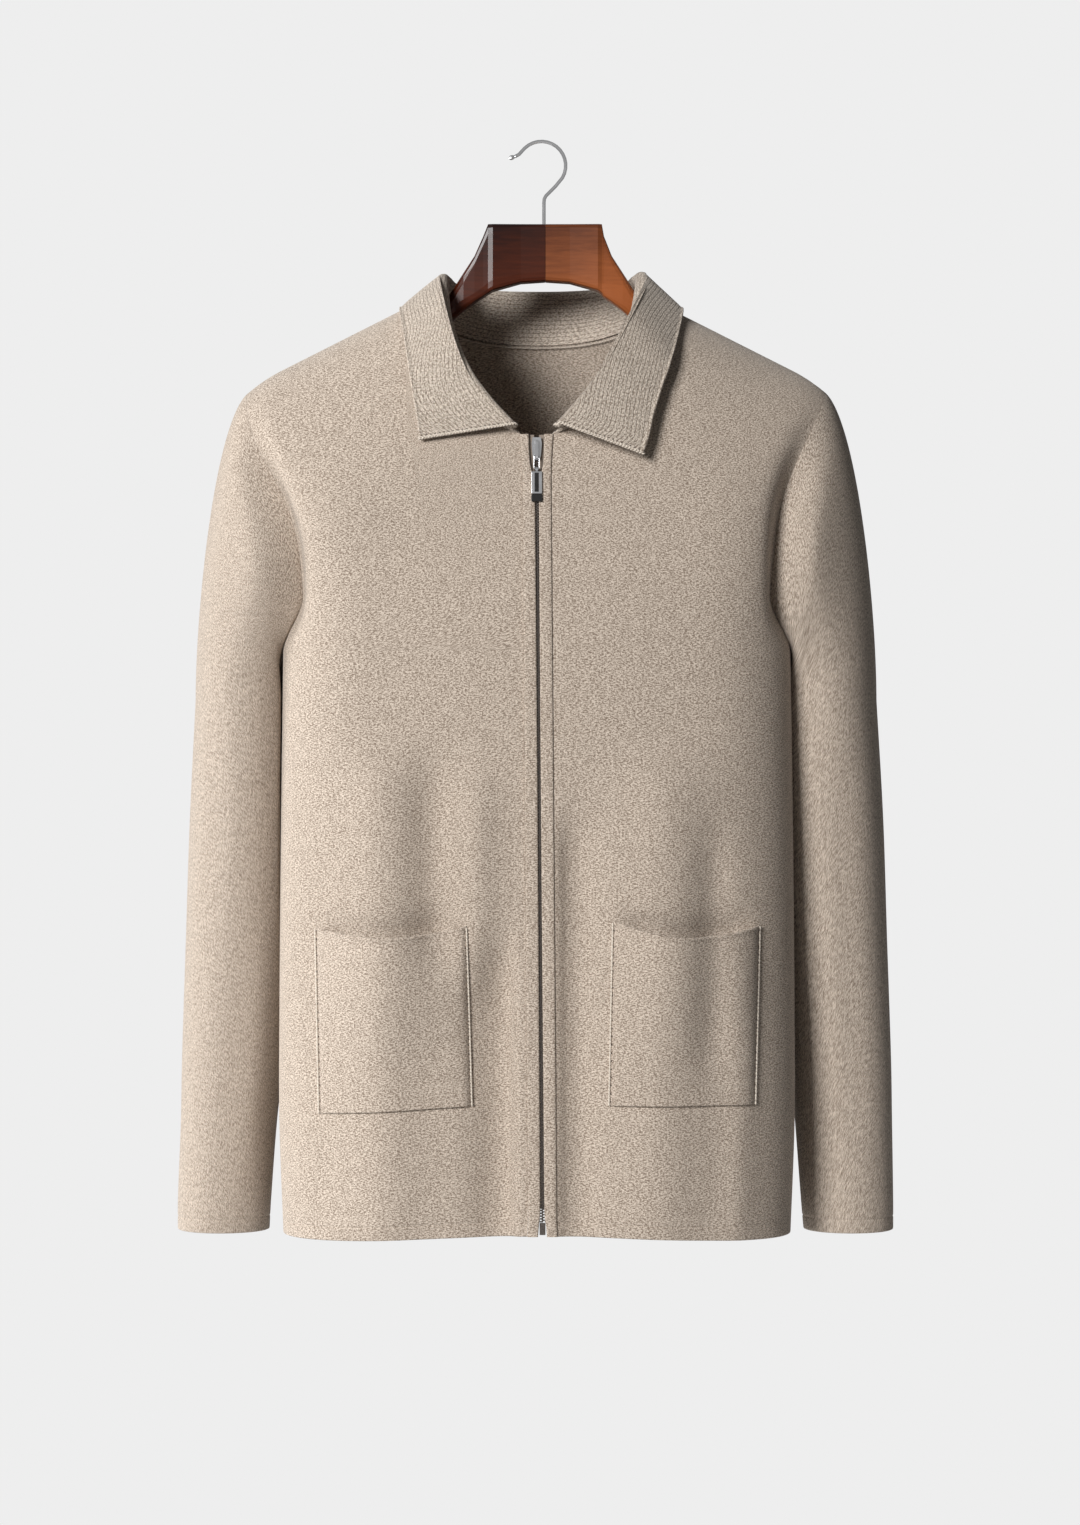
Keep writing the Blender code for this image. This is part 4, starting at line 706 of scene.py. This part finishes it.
COLLAR_RIGHT = ((0.00, 0.0118, -0.0905, -0.2150, 0.0757, -0.2395, 0.0120, 0.0042),
                (0.41, 0.0290, -0.0860, -0.1955, 0.0807, -0.2265, 0.0110, 0.0044),
                (0.66, 0.0450, -0.0720, -0.1740, 0.0866, -0.2056, 0.0100, 0.0046),
                (0.85, 0.0640, -0.0470, -0.1420, 0.0982, -0.1739, 0.0090, 0.0064),
                (1.00, 0.0725, -0.0080, -0.1015, 0.1074, -0.1318, 0.0055, 0.0066),
                (1.40, 0.0600, 0.0460, -0.1005, 0.0900, -0.1405, 0.0066, 0.0050),
                (1.75, 0.0310, 0.0670, -0.1008, 0.0440, -0.1600, 0.0060, 0.0050),
                (1.90, 0.0124, 0.0705, -0.1010, 0.0174, -0.1638, 0.0058, 0.0050),
                (2.00, 0.0000, 0.0710, -0.1010, 0.0000, -0.1642, 0.0058, 0.0050))


def push_clear(points, clearance):
    """Moves points out of the body's cloth, away from the dome of the shoulder."""
    x, y, z = points[..., 0], points[..., 1], points[..., 2]
    face = np.where(y < 0, -1, 1)
    low = ridge_z(x) - DOME
    flat = face * np.maximum(face * y, face * cloth_y(face, x, z) + clearance)
    depth, rise = np.abs(cloth_y(face, x, low)), z - low
    length = np.maximum(np.hypot(y, rise), 1e-9)
    surface = length / np.sqrt((y / depth) ** 2 + (rise / DOME) ** 2)
    grow = np.maximum(1.0, (surface + clearance) / length)
    under = z <= low
    return np.stack((x, np.where(under, flat, y * grow),
                     np.where(under, z, low + rise * grow)), axis=-1)


# The foot follows the neck from the left front round the back to the right front.  The seam's
# share is 0 at a front's middle, 1 at a shoulder and 2 at the middle of the back.
middle = len(back_grid) // 2
across_back = slice(middle + NECK_COLUMNS, middle - NECK_COLUMNS - 1, -COLLAR_STEP)
neck_back = (back_grid - WALL * back_normals)[across_back, -1]
foot = np.concatenate((neck_edges["front_left"], neck_back[1:-1], neck_edges["front_right"][::-1]))
seam = np.concatenate((np.arange(8) / 7, 2 - np.abs(np.arange(-6, 7)) / 7,
                       np.arange(7, -1, -1) / 7))
side = np.where(np.arange(len(seam)) < len(seam) // 2, -1, 1)
foot = foot + unit(np.stack((-side * 0.9, 0 * seam, 0 * seam + 0.45), axis=1)) * FOOT_RISE


def at(column):
    """A column of the collar's tables, at each place of the seam."""
    return np.where(side > 0, curve(COLLAR_RIGHT, seam, column), curve(COLLAR_LEFT, seam, column))


face = np.where(seam <= 1, -1, 1)
apex = np.stack((side * at(1), at(2), at(3)), axis=1)
edge_at, lift, roll = side * at(4), at(6), at(7)
low = np.minimum(at(5), ridge_z(edge_at) - 0.0015)
edge = push_clear(np.stack((edge_at, cloth_y(face, edge_at, low), at(5)), axis=1), lift)
down = unit(edge - apex)
step = 0.004
lean = (cloth_y(face, edge_at + step, low - step) - cloth_y(face, edge_at, low - step)) / step
drop = (cloth_y(face, edge_at, low) - cloth_y(face, edge_at, low - step)) / step
normal = np.stack((-lean, 0 * lean + 1, -drop), axis=1) * face[:, None]
normal = unit(normal - down * np.sum(normal * down, axis=1, keepdims=True))
across = roll[:, None] * down
out = roll[:, None] * normal
profile = [mix(foot, apex + across - out, share) for share in np.linspace(0, 1, 9)[:-1]]
profile += [apex + across * (1 - math.sin(turn)) - out * math.cos(turn)
            for turn in np.linspace(0, math.pi, 17)[:-1]]
for share in np.concatenate((np.linspace(0, 0.94, 25),
                             (0.955, 0.967, 0.977, 0.985, 0.991, 0.996, 1.0))):
    clear = np.minimum(mix(lift + 2 * roll, lift, smooth(share)), lift + roll * (1 - share))
    point = mix(apex + across + out, edge, share)
    profile.append(push_clear(point, clear) if share < 1.0 else point)
coarse = np.stack(profile, axis=1)


def refine(grid, times):
    """More columns, on smooth curves through the ones that there are."""
    padded = np.concatenate((2 * grid[:1] - grid[1:2], grid, 2 * grid[-1:] - grid[-2:-1]))
    rows = []
    for k in range(len(grid) - 1):
        a, b, c, d = padded[k:k + 4]
        for t in np.arange(times) / times:
            rows.append(0.5 * (2 * b + (c - a) * t + (2 * a - 5 * b + 4 * c - d) * t ** 2
                               + (3 * b - a - 3 * c + d) * t ** 3))
    return np.stack(rows + [grid[-1]])


collar_knit = knit_finish("collar_knit", (0.23, 0.18, 0.14), (0.70, 0.61, 0.515),
                          0.0032, 0.0026, 1.0, sideways=True)
collar_grid = refine(coarse, 7)
from_edge = np.linalg.norm(np.diff(collar_grid, axis=1), axis=2)
from_edge = np.concatenate((np.cumsum(from_edge[:, ::-1], axis=1)[:, ::-1],
                            np.zeros((len(collar_grid), 1))), axis=1)
cord = 0.0005 * np.exp(-((from_edge - 0.0012) / 0.0009) ** 2) \
    - 0.0004 * np.exp(-((from_edge - 0.0030) / 0.0007) ** 2)
collar = cloth_wall("collar_strip", collar_grid, COLLAR_WALL, ("top", "first", "last"),
                    collar_knit, bow=cord)
cloth_piece(collar, "collar", ["front_left_panel", "front_right_panel"])

# The chained loops of the short ends, with a row of near-black grains behind them as painted shade
# in the gaps.
CROWN = 15                                # the rows from here on show
collar_normals = grid_normals(collar_grid)
for end, beside, name in ((0, 1, "left"), (-1, -2, "right")):
    edge = collar_grid[end, CROWN:]
    inside = unit(collar_grid[beside, CROWN:] - edge)
    out_of = collar_normals[beside, CROWN:]
    for label, away, pitch, length, width, slant, yarn in (
            ("chain_a", 0.0007, 0.0022, 0.0027, 0.0012, 0.45, pale_yarn),
            ("chain_b", 0.0016, 0.0022, 0.0027, 0.0011, -0.45, pale_yarn),
            ("painted_shade_dots", 0.0028, 0.0033, 0.0013, 0.0009, 0.0, painted_shade_yarn)):
        stitch_row("collar_" + label + "_" + name, edge + inside * away, out_of, pitch, length,
                   width, slant, yarn)

# ---------------------------------------------------------------- pockets
# Patches of the body's knit, linked on at the sides and the foot.  The mouth hangs a little open
# between its corners, and the side seams show a pale cord, with near-black grains beside it as
# painted shade.
POCKET_WALL = 0.0020
SIDES_APART, BORDER = 0.105, 0.0045       # a pocket's width, and its flat border at the sides
for (side, in_top, in_foot, out_top, out_foot, mouth_in, mouth_out, sag,
     foot_in, foot_out, hang) in POCKETS:
    across = np.linspace(0, 1, 47)[:, None]
    up = np.concatenate(((0.0, 0.003, 0.008, 0.016), np.linspace(0.03, 0.97, 44),
                         (0.984, 0.992, 0.997, 1.0)))[None, :]
    mouth = mix(mouth_in, mouth_out, across) - sag * np.sin(math.pi * across)
    z = mix(mix(foot_in, foot_out, across), mouth, up)
    x = side * mix(mix(in_foot, out_foot, across), mix(in_top, out_top, across), up)
    belly = np.sin(math.pi * across)
    loose = np.maximum(hang * smooth(up * 1.25) * np.maximum(belly, 0.0) ** 0.8,
                       0.0035 * np.sin(math.pi * np.minimum(up, 0.5))
                       * np.maximum(belly, 0.0) ** 0.6)
    border = np.minimum(across, 1 - across) * SIDES_APART / BORDER
    proud = mix(0.0012, 0.0010 + POCKET_WALL, smooth(border))
    grid = np.stack((x, cloth_y(-1, x, z) - proud - loose, z), axis=2)
    grid, mouth = grid[::side], mouth[::side]
    name = "pocket_right" if side > 0 else "pocket_left"
    from_mouth = mouth - grid[:, :, 2]
    rolled = 0.0006 * np.exp(-((from_mouth - 0.0012) / 0.0011) ** 2) \
        - 0.0005 * np.exp(-((from_mouth - 0.0034) / 0.0010) ** 2)
    pocket = cloth_wall(name + "_patch", grid, POCKET_WALL, ("bottom", "top", "first", "last"),
                        body_knit, bow=rolled)
    panel_name = "front_right_panel" if side > 0 else "front_left_panel"
    cloth_piece(pocket, name, [panel_name])
    out_of = grid_normals(grid)
    for end, beside, label in ((0, 1, "a"), (-1, -2, "b")):
        edge = grid[end, :-1]
        inside = unit(grid[beside, :-1] - edge)
        # The near-black grains beside the pale cord are painted shade in its gaps.
        for part, away, pitch, length, width, slant, yarn in (
                ("cord", 0.0001, 0.0026, 0.0034, 0.0016, 0.15, pale_yarn),
                ("painted_shade_dots", 0.0014, 0.0058, 0.0016, 0.0006, 0.0, painted_shade_yarn)):
            stitch_row("_".join((name, part, label)), edge + inside * away, out_of[end, :-1],
                       pitch, length, width, slant, yarn)

# ---------------------------------------------------------------- zip bands and tapes
# The fronts' edges are turned back and knocked flat into two raised bands, and the zip's woven
# tapes are sewn in behind them.
BAND_SUNK, BAND_DEEP = 0.0010, 0.0027     # its back behind the panel's face, and its thickness
TAPE_INNER, TAPE_FRONT, TAPE_BACK = 0.0018, 0.0015, 0.0022
CHAIN_BOTTOM_Z, CHAIN_TOP_Z = -0.7818, -0.2400


def zip_y(z, offset=0.0):
    return cloth_y(-1, zip_x(z) + offset, z)


def bar(name, z, offset, deep, finish):
    """A closed bar of cloth along the zip, with its ends flat.

    It runs up through the heights z.  Each ring has its points at the offsets from the zip's
    line and so deep behind the panel's face.
    """
    rings = np.stack((zip_x(z) + offset, zip_y(z, offset) + deep, z + 0 * offset), axis=2)
    if offset[0, 1] < 0:
        rings = rings[:, ::-1]
    count, around = rings.shape[:2]
    k, j = np.meshgrid(np.arange(count - 1), np.arange(around), indexing="ij")
    k, j = k.ravel(), j.ravel()
    n = (j + 1) % around
    faces = np.stack((k * around + j, k * around + n, (k + 1) * around + n,
                      (k + 1) * around + j), axis=1)
    caps = [list(range(around))[::-1], list(range((count - 1) * around, count * around))]
    girth = np.linalg.norm(np.diff(np.concatenate((rings, rings[:, :1]), axis=1), axis=1), axis=2)
    girth = np.concatenate(([0], np.cumsum(girth.mean(axis=0))))
    length = np.linalg.norm(np.diff(rings.mean(axis=1), axis=0), axis=1)
    length = np.concatenate(([0], np.cumsum(length)))
    u = np.stack((girth[j], girth[j + 1], girth[j + 1], girth[j]), axis=1).ravel()
    v = np.stack((length[k], length[k], length[k + 1], length[k + 1]), axis=1).ravel()
    u = np.concatenate((u, np.zeros(2 * around)))
    v = np.concatenate((v, np.zeros(around), np.full(around, length[-1])))
    points = rings.reshape(-1, 3) + np.array((GARMENT_X, 0, 0))
    return new_piece(name, points, faces.tolist() + caps, finish, np.stack((u, v), axis=1))


tape_finish, tape_shader, start = new_finish("zip_tape", 0.8, Sheen_Weight=0.1)
spot = start.node("ShaderNodeUVMap", uv_map="cloth")
parts = start.node("ShaderNodeSeparateXYZ", {"Vector": spot})
twill = start.sum("SINE", (parts / 0.0008 + parts.other("Y") / 0.0008) * math.tau) * 0.5 + 0.5
two_tone(start, twill, (0.20, 0.16, 0.125), (0.33, 0.27, 0.22), tape_shader)
relief_of(start, twill, 0.5, 0.0002, tape_shader)

# The band's section: a rounded welt with a flat back.
turn = np.linspace(0, math.pi, 15)
around = np.concatenate((0.5 - 0.5 * np.sign(np.cos(turn)) * np.abs(np.cos(turn)) ** 0.55,
                         (1.0, 0.0)))
proud = np.concatenate((0.45 + 0.55 * np.sin(turn) ** 0.5, (0.0, 0.0)))
for side, name in ((-1, "left"), (1, "right")):
    z = np.concatenate((np.linspace(HEM_Z, -0.262, 190),
                        np.linspace(-0.261, NECK_FRONT_Z - 0.0006, 34)))[:, None]
    offset = side * mix(curve(BANDS, z, 1), curve(BANDS, z, 2), around[None, :])
    band = bar("band_" + name, z, offset, BAND_SUNK - BAND_DEEP * proud[None, :], body_knit)
    cloth_piece(band, "zip_band_" + name,
                ["front_" + name + "_panel"])
    z = np.linspace(HEM_Z + 0.0100, NECK_FRONT_Z - 0.0010, 160)[:, None]
    inner, outer = 0 * z + TAPE_INNER, curve(BANDS, z, 2) - 0.0004
    offset = side * np.concatenate((inner, outer, outer, inner), axis=1)
    deep = np.array((TAPE_FRONT, TAPE_FRONT, TAPE_BACK, TAPE_BACK))[None, :]
    tape = bar("tape_" + name, z, offset, deep, tape_finish)
    cloth_piece(tape, "zip_tape_" + name, ["band_" + name])

# ---------------------------------------------------------------- zip teeth
# Two rows of pressed dark metal teeth clamped to the tapes, each row set half a tooth off the
# other so that they mesh.
TOOTH, TOOTH_CHAMFER, TOOTH_PITCH = (0.0022, 0.0015, 0.00105), 0.00022, 0.0020
TOOTH_ASIDE, TOOTH_SUNK = 0.0006, 0.0013  # from the zip's line, and behind the panel's face


def metal_finish(name, dark, light, roughness, scale):
    """Plated metal, a little clouded and rubbed."""
    material, shader, start = new_finish(name, roughness, 1.0)
    spot = start.node("ShaderNodeTexCoord", out="Object")
    cloud = noise(start, spot, scale, 3.0)
    two_tone(start, cloud, dark, light, shader)
    (cloud * 0.10 + roughness - 0.05).feed(shader.inputs["Roughness"])
    return material


dark_metal = metal_finish("dark_metal", (0.10, 0.085, 0.075), (0.26, 0.23, 0.21), 0.34, 900.0)
bpy.ops.object.select_all(action="DESELECT")
bpy.ops.mesh.primitive_cube_add(size=1.0)
tooth = bpy.context.object
bpy.ops.object.mode_set(mode="EDIT")
bpy.ops.transform.resize(value=TOOTH)
bpy.ops.mesh.bevel(offset=TOOTH_CHAMFER, segments=1, affect="EDGES")
bpy.ops.object.mode_set(mode="OBJECT")
shape = np.array([v.co[:] for v in tooth.data.vertices])
faces = [list(p.vertices) for p in tooth.data.polygons]
bpy.data.objects.remove(tooth)
points, chain_faces = [], []
for side in (-1, 1):
    z = CHAIN_BOTTOM_Z + (0.5 * TOOTH_PITCH if side > 0 else 0.0)
    while z < CHAIN_TOP_Z:
        where = (GARMENT_X + zip_x(z) + side * TOOTH_ASIDE, zip_y(z) + TOOTH_SUNK, z)
        chain_faces += [[index + len(points) * len(shape) for index in f] for f in faces]
        points.append(shape + np.array(where))
        z += TOOTH_PITCH
teeth = new_piece("zip_teeth", np.concatenate(points), chain_faces, dark_metal,
                  smooth_faces=False)
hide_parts("zip_chain")
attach(teeth, "garment")


def dress(node, finish):
    """Gives a CAD node its finish."""
    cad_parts[node].data.materials.clear()
    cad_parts[node].data.materials.append(finish)


dress("zip_box", dark_metal)

# ---------------------------------------------------------------- slider and pull
# Cast metal slider with a bridge, a wire link through it, and a pull of bright metal round a
# black slot with a black end.
bright_metal = metal_finish("bright_metal", (0.68, 0.68, 0.69), (0.82, 0.82, 0.83), 0.20, 90.0)
black_enamel, black_shader, start = new_finish("black_enamel", 0.22)
spot = start.node("ShaderNodeTexCoord", out="Object")
cloud = noise(start, spot, 700.0, 2.0)
two_tone(start, cloud, (0.006, 0.006, 0.006), (0.020, 0.019, 0.018), black_shader)
for node in ("zip_slider", "pull_link", "pull_tab"):
    dress(node, bright_metal)
for node in ("pull_inlay", "pull_end"):
    dress(node, black_enamel)

# ---------------------------------------------------------------- hanger
# Two shaped halves of red-brown hardwood, joined in the middle and lacquered to a gloss, with a
# bent wire hook screwed into them.
def wood_finish(name, dark, light):
    """Stained wood with its grain along the arms, with painted shade darker towards the top and
    the left.
    """
    material, shader, start = new_finish(name, 0.42, Specular_IOR_Level=0.06, Coat_Weight=0.45,
                                         Coat_Roughness=0.27)
    spot = start.node("ShaderNodeTexCoord", out="Object")
    turned = start.node("ShaderNodeMapping", {"Vector": spot, "Rotation": (0, 0.5, 0),
                                              "Scale": (18.0, 90.0, 190.0)})
    grain = noise(start, turned, 1.6, 5.0, Roughness=0.6, Distortion=0.6)
    parts = start.node("ShaderNodeSeparateXYZ", {"Vector": spot})
    # Grain plus painted shade: the colour darkens towards the top and towards the left.
    grain_and_painted_shade = grain * 0.75 + parts * 4.0 - parts.other("Z") * 13.0 - 1.02
    two_tone(start, grain_and_painted_shade, dark, light, shader)
    relief_of(start, grain, 0.08, 0.0003, shader)
    return material


# The halves get a darker and a brighter copy of one wood: painted shade on the left, painted light
# on the right.
dress("hanger_left", wood_finish("lacquered_wood_painted_shade_left", (0.012, 0.0018, 0.0006),
                                 (0.105, 0.019, 0.0050)))
dress("hanger_right", wood_finish("lacquered_wood_painted_light_right", (0.040, 0.0070, 0.0020),
                                  (0.34, 0.098, 0.029)))
dress("hanger_hook", bright_metal)

# A film of dark glue fills the joint between the halves, a little inside their outline.
GLUE_THICK, GLUE_CHAMFER, GLUE_INSIDE = 0.0005, 0.0001, 0.0007
half = np.array([v.co[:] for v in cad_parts["hanger_left"].data.vertices])
section = half[half[:, 0] > half[:, 0].max() - 0.0003]
low, high = section.min(axis=0) + GLUE_INSIDE, section.max(axis=0) - GLUE_INSIDE
bpy.ops.object.select_all(action="DESELECT")
bpy.ops.mesh.primitive_cube_add(size=1.0)
glue = bpy.context.object
glue.name = "hanger_joint"
bpy.ops.object.mode_set(mode="EDIT")
bpy.ops.mesh.select_all(action="SELECT")
bpy.ops.transform.resize(value=(GLUE_THICK, float(high[1] - low[1]), float(high[2] - low[2])))
bpy.ops.mesh.bevel(offset=GLUE_CHAMFER, segments=1, affect="EDGES")
bpy.ops.mesh.select_all(action="SELECT")
bpy.ops.transform.translate(value=(float(half[:, 0].max()) + 0.00015,
                                   float(low[1] + high[1]) / 2, float(low[2] + high[2]) / 2))
bpy.ops.object.mode_set(mode="OBJECT")
glue.data.materials.append(wood_finish("lacquered_wood_joint", (0.03, 0.005, 0.002),
                                       (0.10, 0.03, 0.01)))
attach(glue, "garment")
